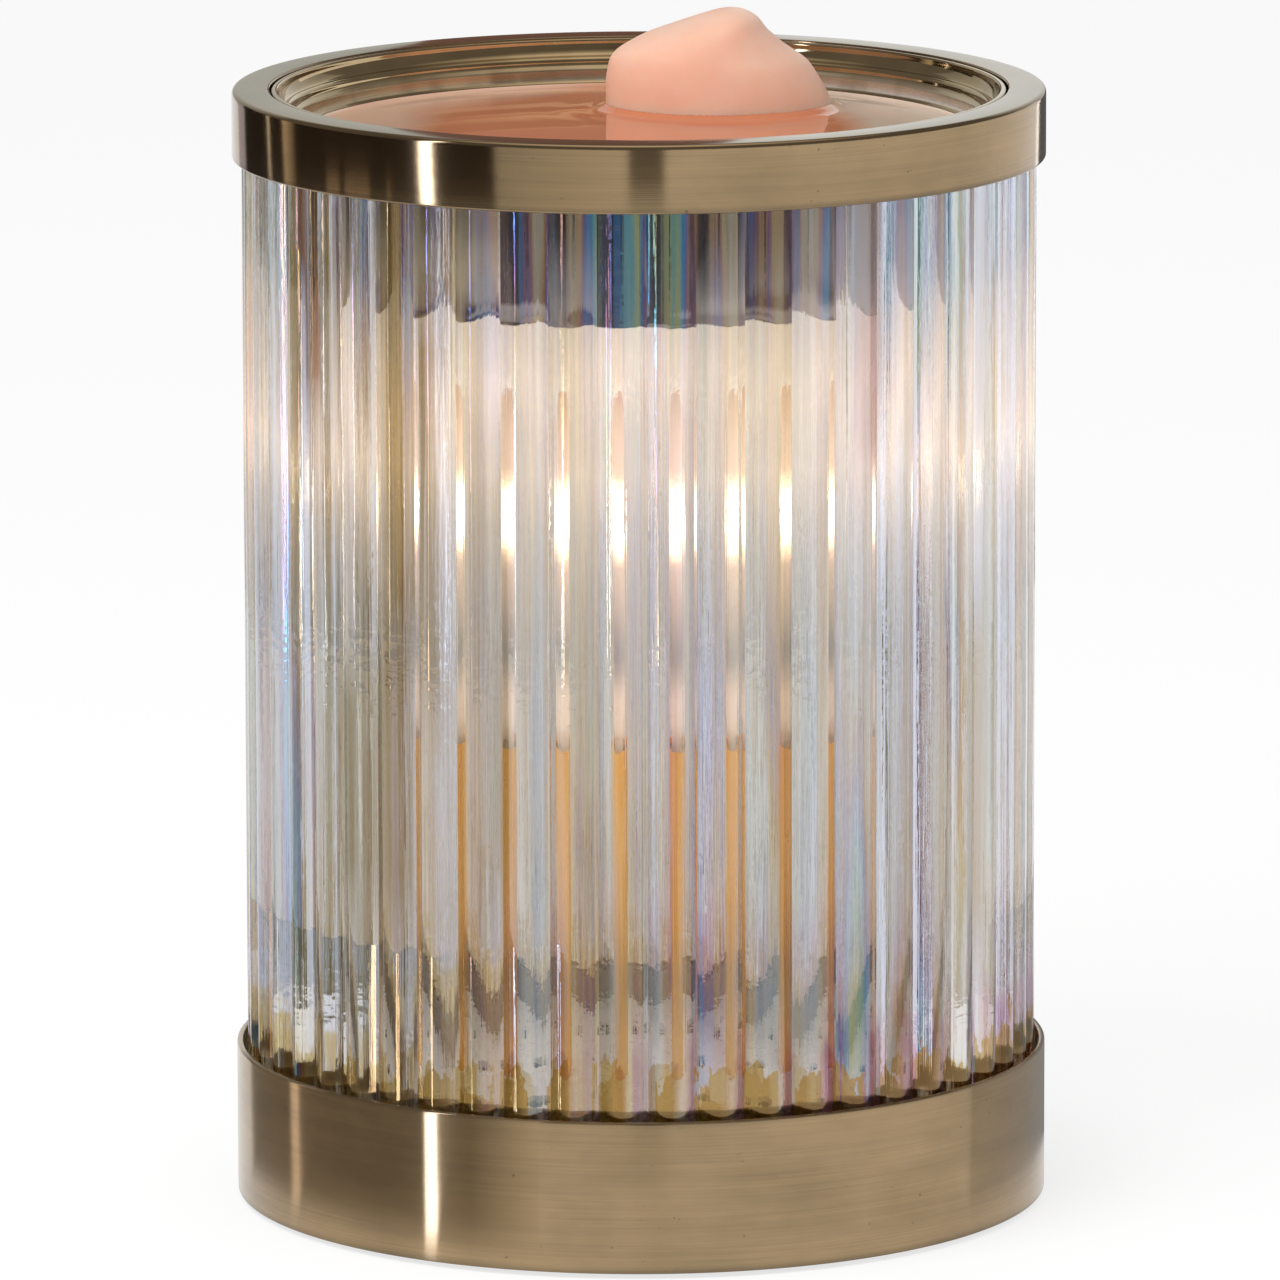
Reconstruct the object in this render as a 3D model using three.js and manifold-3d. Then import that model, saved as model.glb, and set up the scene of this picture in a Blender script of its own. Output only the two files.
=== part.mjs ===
// Electric wax warmer: a ribbed glass cylinder in a brass base, whose bulb melts wax in a lift-out dish.
// Millimetres, +Z up. The front faces -Y, and the origin is on the table under the centre of the base.

import * as THREE from 'three';
import { mergeVertices } from 'three/addons/utils/BufferGeometryUtils.js';
import Module from 'manifold-3d';

// Fits and tools shared by all pieces
const clearance = 0.3;
const overrun = 1.5;
const ringSides = 48;
const tubeSides = 24;
const smallSides = 16;
const holeSides = 10;

// Feet, base plate and what holds it
const foot = { radius: 6, thickness: 1.6, inset: 12.75, count: 4, turn: 45 };
const plate = { thickness: 1.2, recess: 0.8, ventRadius: 3.4, ventPitch: 30, ventCount: 12 };
const post = { height: 15.8, radius: 3.6, inset: 10.75, turns: [10, 150, 270], boreDepth: 9 };
const screw = { shank: 1.5, length: 8, headRadius: 2.9, headHeight: 1.1, slotWidth: 0.7, slotDepth: 0.5 };

// Glass cylinder with rounded ribs, and the silicone rings at its ends
const glass = { radius: 62.1, wall: 5.1, height: 149.6, ribs: 50, ribDepth: 2, ribSteps: 4, ribTurn: -89 };
const gasket = { thickness: 1.2, overlap: 1.4, upstand: 4.2 };

// Base band and the deck that carries the glass
const band = { gap: 0.65, wall: 1, lip: 5, edge: 0.3 };
const deck = { sheet: 1, skirt: 3, ventRadius: 4, ventPitch: 36, ventCount: 8 };

// Top ring: skirt over the glass, flat top, and a ledge for the dish
const ring = { gap: 0.4, sheet: 1, skirt: 10.6, recess: 3.2, top: 5.9, ledge: 0.8 };
Object.assign(ring, { round: 1.8, roundSteps: 4 });

// Wax dish: four narrow steps below its rim, then a deep bowl with a rounded foot
const dish = { sheet: 1, rimDrop: 0.2, waxDrop: 7.2, tread: 0.9, depth: 30.8, round: 12, roundSteps: 4 };
const stepDropShares = [0.24, 0.14, 0.21, 0.29];

// Wax cube, half melted into a leaning hump that stands cornerwise in the pool
const cube = { width: 36.4, length: 30, height: 16, sink: 3, inset: 22.6, turn: 64.6, steps: 28 };
const cubeSpreadShares = [0.92, 1, 1, 0.97, 0.88, 0.66, 0.33];
const cubeRiseShares = [-1, -0.6, 0.4, 0.74, 0.91, 0.98, 1];
const cubeRidgeShares = [0.5, 0.73, 0.87, 0.99, 0.92, 0.56, 0.1];
const cubeSquareness = 1.9;

// Lamp stem with its nuts and washer
const stem = { radius: 4.8, bore: 3.4, below: 8.6, above: 14.4 };
const nut = { radius: 8, height: 4 };
const washer = { gap: 0.6, thickness: 1.2 };

// Candle sleeve and lampholder
const sleeve = { gap: 0.4, wall: 0.7, rise: 1 };
const holder = { gap: 0.6, wall: 1.2, foot: 3, seat: 13, seatWidth: 0.9, lip: 3, grip: 4 };
const contactPlate = { thickness: 2.5, wireHole: 1.3 };
const thread = { radius: 5.9, depth: 0.55, turns: 4, pitch: 2.6 };
const shell = { wall: 0.5, drop: 1 };
const tongue = { width: 3, sheet: 0.4, reach: 4.4, rise: 3.8 };

// Bulb
const cap = { wall: 0.45, height: 16 };
const capTip = { radius: 1.8, height: 0.6, coneHeight: 1.8, gap: 0.5, plug: 2.6 };
const bulb = { wall: 0.6, gap: 0.4, neckHeight: 8, radius: 8, flare: 8, dome: 9, headroom: 16.8 };
Object.assign(bulb, { domeSteps: 5 });
const mount = { radius: 1.8, waistShare: 0.7 };
const filament = { drop: 20, span: 4.4, rise: 5.4, radius: 0.45, wire: 0.3, steps: 12, sides: 6 };
const bowShares = [-1, -0.5, 0, 0.5, 1];

// Rocker switch in the back of the band
const toggle = { turn: -42, below: 1.4, above: 0.8, width: 18, wall: 1, depth: 15, bezel: 1.6, brim: 1.4 };
const rocker = { gap: 0.6, crown: 3.6, dish: 1.5, set: 1.2, back: 4, pin: 1.1, pinLength: 0.6 };
Object.assign(rocker, { throw: 12, lean: 24, steps: 4 });
const tab = { width: 4.6, sheet: 0.8, length: 5, spread: 4.6 };

// Cord bush, terminal block and inner leads
const bush = { bore: 3.4, wall: 1.6, flange: 3, flangeThickness: 1.6, backFlange: 1.2 };
const block = { x: -14, y: 36, width: 20, length: 12, height: 9, poleSpread: 8, screw: 1.7, recess: 4 };
const lead = { radius: 0.9, level: 3.2, spread: 1.4, sides: 8, steps: 22 };

// Levels, from the table up
const level = {};
level.plateBottom = foot.thickness;
level.bandBottom = level.plateBottom - plate.recess;
level.plateTop = level.plateBottom + plate.thickness;
level.deckBottom = level.plateTop + post.height;
level.deckTop = level.deckBottom + deck.sheet;
level.glassBottom = level.deckTop + gasket.thickness;
level.deckSkirt = level.deckTop - deck.skirt;
level.bandTop = level.deckTop + band.lip;
level.glassTop = level.glassBottom + glass.height;
level.ledgeBottom = level.glassTop + gasket.thickness;
level.ledgeTop = level.ledgeBottom + ring.sheet;
level.ringTop = level.ledgeTop + ring.recess;
level.skirtBottom = level.ringTop - ring.skirt;
level.rimTop = level.ringTop - dish.rimDrop;
level.wax = level.rimTop - dish.waxDrop;
level.dishBottom = level.rimTop - dish.depth;
level.stemBottom = level.deckBottom - stem.below;
level.stemTop = level.deckTop + stem.above;
level.holderBottom = level.stemTop - holder.grip;
level.contactSeat = level.holderBottom + holder.seat;
level.contactTop = level.contactSeat + contactPlate.thickness;
level.tipBottom = level.contactTop + tongue.rise + clearance;
level.capBottom = level.tipBottom + capTip.height + capTip.coneHeight;
level.capTop = level.capBottom + cap.height;
level.holderTop = level.capTop + holder.lip;
level.sleeveTop = level.holderTop + sleeve.rise;
level.bulbBottom = level.capTop - bulb.neckHeight;
level.bulbTop = level.dishBottom - bulb.headroom;
level.filament = level.bulbTop - filament.drop;
level.mountTop = (level.capTop + level.filament) / 2;
level.toggleLow = level.plateTop + toggle.below;
level.toggleHigh = level.deckSkirt - toggle.above;
level.toggle = (level.toggleLow + level.toggleHigh) / 2;
level.bush = (level.plateTop + level.deckSkirt) / 2;

// Radii that follow from the pieces they fit
const bandInner = glass.radius + band.gap;
const bandOuter = bandInner + band.wall;
const deckOuter = bandInner - clearance;
const ringInner = glass.radius + ring.gap;
const ringOuter = ringInner + ring.sheet;
const ringBore = ringOuter - ring.top;
const glassBore = glass.radius - glass.wall;
const dishRim = ringBore - clearance;
const waxBore = dishRim - dish.sheet - stepDropShares.length * dish.tread;
const postPitch = bandInner - post.inset;
const footPitch = bandInner - foot.inset;
const shellBore = thread.radius + clearance;
const shellOuter = shellBore + shell.wall;
const holderBore = shellOuter + holder.gap;
const holderOuter = holderBore + holder.wall;
const sleeveBore = holderOuter + sleeve.gap;
const capBore = thread.radius - thread.depth - cap.wall;
const bulbNeck = capBore - bulb.gap;

const wasm = await Module();
wasm.setup();

const radians = THREE.MathUtils.degToRad;
const group = new THREE.Group();

// Geometry helpers

// Keep position only, join shared vertices, drop empty faces and turn the faces outwards.
function closed(geometry) {
  geometry.deleteAttribute('normal');
  geometry.deleteAttribute('uv');
  const merged = mergeVertices(geometry);
  const place = merged.getAttribute('position');
  const corner = (i) => new THREE.Vector3().fromBufferAttribute(place, i);
  const faces = [];
  let volume = 0;
  for (let i = 0; i < merged.index.count; i += 3) {
    const [a, b, c] = [0, 1, 2].map((k) => merged.index.getX(i + k));
    if (a === b || b === c || c === a) continue;
    faces.push([a, b, c]);
    volume += corner(a).dot(corner(b).cross(corner(c)));
  }
  merged.setIndex(faces.flatMap(([a, b, c]) => (volume < 0 ? [a, c, b] : [a, b, c])));
  return merged;
}

function toSolid(geometry) {
  const merged = closed(geometry);
  const vertProperties = new Float32Array(merged.getAttribute('position').array);
  const triVerts = new Uint32Array(merged.index.array);
  return new wasm.Manifold(new wasm.Mesh({ numProp: 3, vertProperties, triVerts }));
}

function toGeometry(solid) {
  const mesh = solid.getMesh();
  const geometry = new THREE.BufferGeometry();
  geometry.setAttribute('position', new THREE.BufferAttribute(mesh.vertProperties, mesh.numProp));
  geometry.setIndex(Array.from(mesh.triVerts));
  return geometry;
}

function cut(geometry, tools) {
  return toGeometry(tools.reduce((solid, tool) => solid.subtract(toSolid(tool)), toSolid(geometry)));
}

function joined(geometries) {
  return toGeometry(geometries.map(toSolid).reduce((solid, other) => solid.add(other)));
}

// A ring or disc turned about Z from [radius, height] points, anticlockwise in that plane.
function turned(points, sides = ringSides) {
  const outline = points.map(([radius, height]) => new THREE.Vector2(radius, height));
  return new THREE.LatheGeometry(outline, sides).rotateX(Math.PI / 2);
}

function tube(outer, inner, low, high, sides = ringSides) {
  return turned([[inner, low], [outer, low], [outer, high], [inner, high], [inner, low]], sides);
}

function rod(radius, low, high, sides = smallSides) {
  return turned([[0, low], [radius, low], [radius, high], [0, high]], sides);
}

function box(width, length, low, high) {
  return new THREE.BoxGeometry(width, length, high - low).translate(0, 0, (low + high) / 2);
}

function along(points, radius, sides, steps) {
  const section = new THREE.Shape().absarc(0, 0, radius, 0, 2 * Math.PI);
  const outline = new THREE.Shape(section.getPoints(sides).slice(0, sides));
  const path = new THREE.CatmullRomCurve3(points.map((point) => new THREE.Vector3(...point)));
  return new THREE.ExtrudeGeometry(outline, { steps, extrudePath: path, bevelEnabled: false });
}

function flat(points, low, high) {
  const outline = new THREE.Shape(points.map(([x, y]) => new THREE.Vector2(x, y)));
  return new THREE.ExtrudeGeometry(outline, { depth: high - low, bevelEnabled: false }).translate(0, 0, low);
}

// A copy moved out to a pitch radius at an angle in degrees from +X.
function atTurn(geometry, pitch, degrees) {
  return geometry.translate(pitch, 0, 0).rotateZ(radians(degrees));
}

function around(count, make) {
  return Array.from({ length: count }, (_, i) => make((360 * i) / count));
}

function arc(x, z, radius, from, to, steps) {
  return Array.from({ length: steps + 1 }, (_, i) => {
    const turn = radians(from + ((to - from) * i) / steps);
    return [x + radius * Math.cos(turn), z + radius * Math.sin(turn)];
  });
}

function onCircle(radius, degrees) {
  return new THREE.Vector2(radius * Math.cos(radians(degrees)), radius * Math.sin(radians(degrees)));
}

function hexagon(radius, bore, low, high) {
  const outline = around(6, (turn) => onCircle(radius, turn).toArray());
  return cut(flat(outline, low, high), [rod(bore, low - overrun, high + overrun)]);
}

const finish = {
  brass: { color: 0x9a7f5a, metalness: 1, roughness: 0.35 },
  bronze: { color: 0x8a5a3a, metalness: 1, roughness: 0.25 },
  clearGlass: { color: 0xdfe6ea, metalness: 0, roughness: 0.05, transparent: true, opacity: 0.4 },
  silicone: { color: 0x2a231e, metalness: 0, roughness: 0.6 },
  steel: { color: 0x9a9a98, metalness: 1, roughness: 0.4 },
  rubber: { color: 0x202020, metalness: 0, roughness: 0.8 },
  blackPlastic: { color: 0x151515, metalness: 0, roughness: 0.45 },
  palePlastic: { color: 0xe6e2d8, metalness: 0, roughness: 0.5 },
  copper: { color: 0xb87440, metalness: 1, roughness: 0.3 },
  wax: { color: 0xe3a188, metalness: 0, roughness: 0.4 },
  glow: { color: 0xffe2b0, metalness: 0, roughness: 0.5 },
};

function add(name, geometry, look, parent = group) {
  const mesh = new THREE.Mesh(closed(geometry), new THREE.MeshStandardMaterial(finish[look]));
  mesh.name = name;
  parent.add(mesh);
  return mesh;
}

// Base

function baseBand() {
  const shape = turned([
    [bandInner, level.bandBottom], [bandOuter, level.bandBottom],
    [bandOuter, level.bandTop - band.edge], [bandOuter - band.edge, level.bandTop],
    [bandInner, level.bandTop], [bandInner, level.bandBottom],
  ]);
  const reach = band.wall + 2 * overrun;
  const [low, high] = [level.toggleLow - clearance, level.toggleHigh + clearance];
  const window = box(toggle.width + 2 * clearance, 2 * reach, low, high);
  const cordHole = rod(bush.bore + bush.wall + clearance, -reach, reach).rotateX(Math.PI / 2);
  return cut(shape, [
    window.translate(0, bandInner, 0).rotateZ(radians(toggle.turn)),
    cordHole.translate(0, bandInner, level.bush),
  ]);
}

function deckPan() {
  const pan = turned([
    [stem.radius + clearance, level.deckBottom], [deckOuter - deck.sheet, level.deckBottom],
    [deckOuter - deck.sheet, level.deckSkirt], [deckOuter, level.deckSkirt],
    [deckOuter, level.deckTop], [stem.radius + clearance, level.deckTop],
    [stem.radius + clearance, level.deckBottom],
  ]);
  const vent = () => rod(deck.ventRadius, level.deckBottom - overrun, level.deckTop + overrun);
  return cut(pan, around(deck.ventCount, (turn) => atTurn(vent(), deck.ventPitch, turn)));
}

function basePlate() {
  const disc = rod(bandInner - clearance, level.plateBottom, level.plateTop, ringSides);
  const hole = (radius) => rod(radius, level.plateBottom - overrun, level.plateTop + overrun, holeSides);
  return cut(disc, [
    ...around(plate.ventCount, (turn) => atTurn(hole(plate.ventRadius), plate.ventPitch, turn)),
    ...post.turns.map((turn) => atTurn(hole(screw.shank + clearance), postPitch, turn)),
  ]);
}

function platePost(turn) {
  const boreTop = level.plateTop + post.boreDepth;
  const bore = rod(screw.shank + clearance, level.plateTop - overrun, boreTop, holeSides);
  const body = rod(post.radius, level.plateTop, level.deckBottom, smallSides);
  return atTurn(cut(body, [bore]), postPitch, turn);
}

function plateScrew(turn) {
  const headBottom = level.plateBottom - screw.headHeight;
  const body = turned([
    [0, headBottom], [screw.headRadius, headBottom], [screw.headRadius, level.plateBottom],
    [screw.shank, level.plateBottom], [screw.shank, level.plateBottom + screw.length],
    [0, level.plateBottom + screw.length],
  ], holeSides);
  const slotTop = headBottom + screw.slotDepth;
  const slot = box(2 * screw.headRadius + overrun, screw.slotWidth, headBottom - overrun, slotTop);
  return atTurn(cut(body, [slot]), postPitch, turn);
}

add('base_band', baseBand(), 'brass');
add('deck_pan', deckPan(), 'steel');
add('base_plate', basePlate(), 'blackPlastic');
post.turns.forEach((turn, i) => {
  add(`plate_post_${i + 1}`, platePost(turn), 'steel');
  add(`plate_screw_${i + 1}`, plateScrew(turn), 'steel');
});
around(foot.count, (turn) => turn).forEach((turn, i) => {
  const pad = rod(foot.radius, 0, foot.thickness);
  add(`foot_${i + 1}`, atTurn(pad, footPitch, turn + foot.turn), 'rubber');
});

// Glass cylinder between its gaskets

// Each rib is one arch of a sine, so that neighbours meet in a sharp valley.
function ribbedGlass() {
  const steps = glass.ribs * glass.ribSteps;
  const outline = Array.from({ length: steps }, (_, i) => {
    const arch = Math.abs(Math.sin((Math.PI * i) / glass.ribSteps));
    const radius = glass.radius - glass.ribDepth * (1 - arch);
    return onCircle(radius, glass.ribTurn + (360 * i) / steps);
  });
  const shape = new THREE.Shape(outline);
  const bore = around(ringSides, (turn) => onCircle(glassBore, turn));
  shape.holes.push(new THREE.Path(bore));
  const options = { depth: glass.height, bevelEnabled: false };
  return new THREE.ExtrudeGeometry(shape, options).translate(0, 0, level.glassBottom);
}

// The lower ring has an L section: the glass stands on its foot, round its upstand.
function lowerGasket() {
  const inner = glassBore - gasket.overlap;
  const upstandOuter = glassBore - clearance;
  const upstandTop = level.glassBottom + gasket.upstand;
  return turned([
    [inner, level.deckTop], [glass.radius, level.deckTop], [glass.radius, level.glassBottom],
    [upstandOuter, level.glassBottom], [upstandOuter, upstandTop], [inner, upstandTop],
    [inner, level.deckTop],
  ]);
}

add('lower_gasket', lowerGasket(), 'silicone');
add('glass_shade', ribbedGlass(), 'clearGlass');
const upperGasketOuter = ringBore + ring.sheet + gasket.overlap;
add('upper_gasket', tube(upperGasketOuter, glassBore, level.glassTop, level.ledgeBottom), 'silicone');

// Top ring, one pressed sheet

function topRing() {
  const ledgeInner = ringBore - ring.ledge;
  const wallOuter = ringBore + ring.sheet;
  const underTop = level.ringTop - ring.sheet;
  const inset = ring.round - ring.sheet;
  return turned([
    [ringInner, level.skirtBottom], [ringOuter, level.skirtBottom],
    ...arc(ringOuter - ring.round, level.ringTop - ring.round, ring.round, 0, 90, ring.roundSteps),
    [ringBore, level.ringTop], [ringBore, level.ledgeTop], [ledgeInner, level.ledgeTop],
    [ledgeInner, level.ledgeBottom], [wallOuter, level.ledgeBottom], [wallOuter, underTop],
    [ringInner - inset, underTop], [ringInner, underTop - inset], [ringInner, level.skirtBottom],
  ]);
}

add('top_ring', topRing(), 'brass');

// Wax dish and its wax

function dishSteps() {
  const points = [];
  let radius = dishRim - dish.sheet;
  let height = level.rimTop;
  for (const share of stepDropShares) {
    points.push([radius, height]);
    height -= share * dish.waxDrop;
    points.push([radius, height]);
    radius -= dish.tread;
  }
  points.push([radius, height]);
  return points;
}

// The bowl below the steps, seen from outside or set in by the sheet.
function bowl(inset) {
  const wall = waxBore + dish.sheet - inset;
  const round = dish.round - inset;
  const bottom = level.dishBottom + inset;
  return [[0, bottom], ...arc(wall - round, bottom + round, round, -90, 0, dish.roundSteps)];
}

function waxDish() {
  const flangeBottom = level.ledgeTop + clearance;
  const flangeInner = ringBore - ring.ledge - clearance;
  return turned([
    ...bowl(0), [waxBore + dish.sheet, level.wax - dish.sheet], [flangeInner, flangeBottom - dish.sheet],
    [flangeInner, flangeBottom], [dishRim, flangeBottom], [dishRim, level.rimTop],
    ...dishSteps(), ...bowl(dish.sheet).reverse(),
  ]);
}

const cubeSpot = onCircle(waxBore - cube.inset, cube.turn);

function squircle(turn, halfWidth, halfLength) {
  const bend = (value) => Math.sign(value) * Math.abs(value) ** (2 / cubeSquareness);
  return [halfWidth * bend(Math.cos(turn)), halfLength * bend(Math.sin(turn))];
}

// Height of the melted cube's ridge as a share, from its left side to its right.
function ridge(x) {
  const spot = ((x / cube.width) + 0.5) * (cubeRidgeShares.length - 1);
  const before = Math.min(Math.max(Math.floor(spot), 0), cubeRidgeShares.length - 2);
  return THREE.MathUtils.lerp(cubeRidgeShares[before], cubeRidgeShares[before + 1], spot - before);
}

function waxCube() {
  const places = [[0, 0, -cube.sink]];
  for (const [row, spread] of cubeSpreadShares.entries()) {
    const rise = cubeRiseShares[row];
    for (let i = 0; i < cube.steps; i += 1) {
      const turn = (2 * Math.PI * i) / cube.steps;
      const [x, y] = squircle(turn, (spread * cube.width) / 2, (spread * cube.length) / 2);
      places.push([x, y, rise < 0 ? rise * cube.sink : rise * cube.height * ridge(x)]);
    }
  }
  places.push([0, 0, cube.height * ridge(0)]);
  const faces = [];
  const top = places.length - 1;
  const last = (cubeSpreadShares.length - 1) * cube.steps;
  for (let i = 0; i < cube.steps; i += 1) {
    const next = (i + 1) % cube.steps;
    faces.push(0, 1 + next, 1 + i, top, 1 + last + i, 1 + last + next);
    for (let row = 0; row < last; row += cube.steps) {
      const [a, b] = [1 + row + i, 1 + row + next];
      faces.push(a, b, b + cube.steps, a, b + cube.steps, a + cube.steps);
    }
  }
  const geometry = new THREE.BufferGeometry();
  geometry.setAttribute('position', new THREE.Float32BufferAttribute(places.flat(), 3));
  geometry.setIndex(faces);
  return geometry.translate(cubeSpot.x, cubeSpot.y, level.wax);
}

function waxPool() {
  const gap = dish.sheet + clearance;
  const pool = turned([...bowl(gap), [waxBore - clearance, level.wax], [0, level.wax]]);
  const hollow = Array.from({ length: cube.steps }, (_, i) => squircle(
    (2 * Math.PI * i) / cube.steps,
    cube.width / 2 + clearance,
    cube.length / 2 + clearance,
  ));
  const room = flat(hollow, level.wax - cube.sink - clearance, level.wax + overrun);
  return cut(pool, [room.translate(cubeSpot.x, cubeSpot.y, 0)]);
}

add('dish', waxDish(), 'bronze');
add('wax_pool', waxPool(), 'wax');
add('wax_cube', waxCube(), 'wax');

// Lamp stem through the deck, its nuts and washer, and the candle sleeve round it

const nutBore = stem.radius + clearance;
const washerTop = level.deckTop + washer.thickness;
add('lamp_stem', tube(stem.radius, stem.bore, level.stemBottom, level.stemTop, smallSides), 'copper');
const lowNutBottom = level.deckBottom - nut.height;
add('stem_nut_lower', hexagon(nut.radius, nutBore, lowNutBottom, level.deckBottom), 'steel');
add('stem_washer', tube(sleeveBore - washer.gap, nutBore, level.deckTop, washerTop, smallSides), 'steel');
add('stem_nut_upper', hexagon(nut.radius, nutBore, washerTop, washerTop + nut.height), 'steel');
const sleeveOuter = sleeveBore + sleeve.wall;
add('lamp_sleeve', tube(sleeveOuter, sleeveBore, level.deckTop, level.sleeveTop, tubeSides), 'copper');

// Lampholder: moulded body, insulating plate, centre contact tongue and screw shell

function threadWave(radius, low) {
  return Array.from({ length: 2 * thread.turns + 1 }, (_, i) => {
    return [radius - (i % 2 ? 0 : thread.depth), low + (i * thread.pitch) / 2];
  });
}

const threadLow = level.capBottom + thread.pitch;
const shellTop = level.holderTop - shell.drop;

function holderBody() {
  const narrow = holderBore - holder.seatWidth;
  const floor = level.holderBottom + holder.foot;
  return turned([
    [nutBore, level.holderBottom], [holderOuter, level.holderBottom], [holderOuter, level.holderTop],
    [holderBore, level.holderTop], [holderBore, level.contactSeat], [narrow, level.contactSeat],
    [narrow, floor], [nutBore, floor], [nutBore, level.holderBottom],
  ], tubeSides);
}

function screwShell() {
  const low = level.contactTop;
  return turned([
    [shellBore - thread.depth, low], [shellOuter, low], [shellOuter, shellTop], [shellBore, shellTop],
    ...threadWave(shellBore, threadLow).reverse(), [shellBore - thread.depth, low],
  ], tubeSides);
}

const wireHoleX = -(shellBore - thread.depth / 2);

function insulatingPlate() {
  const disc = rod(holderBore - clearance, level.contactSeat, level.contactTop, tubeSides);
  const hole = rod(contactPlate.wireHole, -overrun, contactPlate.thickness + overrun, holeSides);
  return cut(disc, [hole.translate(wireHoleX + contactPlate.wireHole, 0, level.contactSeat)]);
}

function contactTongue() {
  const reach = tongue.reach / 2;
  const top = level.contactTop + tongue.rise;
  const outline = [
    [-reach, level.contactTop], [reach, level.contactTop], [reach, level.contactTop + tongue.sheet],
    [-reach + tongue.sheet * 2, level.contactTop + tongue.sheet], [reach, top - tongue.sheet * 2],
    [reach, top - tongue.sheet], [tongue.sheet, top], [0, top],
    [-reach, level.contactTop + 2 * tongue.sheet],
  ];
  const strip = flat(outline, -tongue.width / 2, tongue.width / 2);
  return strip.rotateX(Math.PI / 2);
}

add('lampholder', holderBody(), 'blackPlastic');
add('contact_plate', insulatingPlate(), 'palePlastic');
add('screw_shell', screwShell(), 'brass');
add('centre_contact', contactTongue(), 'brass');

// Bulb: threaded cap with its insulator and tip, blown envelope, glass mount and filament

function bulbCap() {
  const top = level.capTop;
  return turned([
    [capBore, level.capBottom], [thread.radius - thread.depth, level.capBottom],
    ...threadWave(thread.radius, threadLow), [thread.radius - thread.depth, top],
    [capBore, top], [capBore, level.capBottom],
  ], tubeSides);
}

function capInsulator() {
  const low = level.tipBottom + capTip.height;
  const high = level.capBottom + capTip.plug;
  const wide = capBore - capTip.gap;
  return turned([
    [0, low], [capTip.radius, low], [wide, level.capBottom], [wide, high], [0, high],
  ], smallSides);
}

// Outline of the envelope, open at the neck, set in by a wall.
function envelope(inset) {
  const domeLow = level.bulbTop - bulb.dome;
  const dome = arc(0, 0, 1, 0, 90, bulb.domeSteps).map(([x, z]) => [
    x * (bulb.radius - inset),
    domeLow + z * (bulb.dome - inset),
  ]);
  dome.at(-1)[0] = 0;
  return [
    [bulbNeck - inset, level.bulbBottom], [bulbNeck - inset, level.capTop],
    [(bulbNeck + bulb.radius) / 2 - inset, level.capTop + bulb.flare / 2],
    [bulb.radius - inset, level.capTop + bulb.flare], ...dome,
  ];
}

const mountWaist = mount.waistShare * mount.radius;

function bulbMount() {
  const wide = bulbNeck - bulb.wall - clearance;
  return turned([
    [0, level.bulbBottom], [wide, level.bulbBottom], [mount.radius, level.capTop],
    [mount.radius, level.mountTop - mount.radius], [mountWaist, level.mountTop], [0, level.mountTop],
  ], holeSides);
}

function filamentPost(side) {
  const start = level.mountTop + clearance + filament.wire;
  const end = level.filament - filament.radius - clearance;
  const spots = [
    [(side * mountWaist) / 2, 0, start],
    [(side * filament.span) / 2, 0, (start + end) / 2],
    [side * filament.span, 0, end],
  ];
  return along(spots, filament.wire, filament.sides, filament.steps / 2);
}

function filamentBow() {
  const spots = bowShares.map((share) => [
    share * filament.span, 0, level.filament + filament.rise * (1 - share * share),
  ]);
  return along(spots, filament.radius, filament.sides, filament.steps);
}

add('bulb_cap', bulbCap(), 'brass');
add('cap_insulator', capInsulator(), 'blackPlastic');
add('cap_tip', rod(capTip.radius, level.tipBottom, level.tipBottom + capTip.height), 'steel');
add('bulb_glass', turned([...envelope(bulb.wall).reverse(), ...envelope(0)], tubeSides), 'clearGlass');
add('bulb_mount', bulbMount(), 'clearGlass');
add('filament_post_1', filamentPost(-1), 'steel');
add('filament_post_2', filamentPost(1), 'steel');
add('filament', filamentBow(), 'glow');

// Rocker switch, built facing +Y and then turned round the base to its window

const switchGroup = new THREE.Group();
switchGroup.rotation.z = radians(toggle.turn);
group.add(switchGroup);
const bezelBack = bandOuter + clearance;
const bezelFront = bezelBack + toggle.bezel;
const switchBack = bezelFront - toggle.depth;
const pivotY = bezelFront - rocker.crown + rocker.set;
const cavityLow = level.toggleLow + toggle.wall;
const cavityHigh = level.toggleHigh - toggle.wall;
const cavityHalf = (cavityHigh - cavityLow) / 2;
const rockerReach = toggle.width / 2 - toggle.wall - rocker.gap;

function slab(width, back, front, low, high) {
  return box(width, front - back, low, high).translate(0, (front + back) / 2, 0);
}

function switchHousing() {
  const brimWidth = toggle.width + 2 * toggle.brim;
  const [low, high] = [level.toggleLow, level.toggleHigh];
  const body = slab(toggle.width, switchBack, bezelFront, low, high);
  const brim = slab(brimWidth, bezelBack, bezelFront, low - toggle.brim, high + toggle.brim);
  const room = slab(
    toggle.width - 2 * toggle.wall,
    switchBack + toggle.wall,
    bezelFront + overrun,
    cavityLow,
    cavityHigh,
  );
  const pinRoom = rod(rocker.pin + clearance, -toggle.wall, toggle.wall, holeSides);
  return cut(joined([body, brim]), [
    room,
    pinRoom.clone().translate(0, pivotY, cavityLow),
    pinRoom.translate(0, pivotY, cavityHigh),
  ]);
}

// The rocker's ends are arcs about its pins, and its face is a shallow V that rests tipped one way.
function switchRocker() {
  const halfHeight = cavityHalf - clearance;
  const outline = [
    ...arc(0, 0, rockerReach, -rocker.lean, rocker.lean, rocker.steps), [0, rocker.crown - rocker.dish],
    ...arc(0, 0, rockerReach, 180 - rocker.lean, 180 + rocker.lean, rocker.steps), [0, -rocker.back],
  ];
  const paddle = flat(outline, -halfHeight, halfHeight);
  const pinReach = halfHeight + clearance + rocker.pinLength;
  return joined([paddle, rod(rocker.pin, -pinReach, pinReach, holeSides)]).rotateZ(radians(rocker.throw));
}

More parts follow.
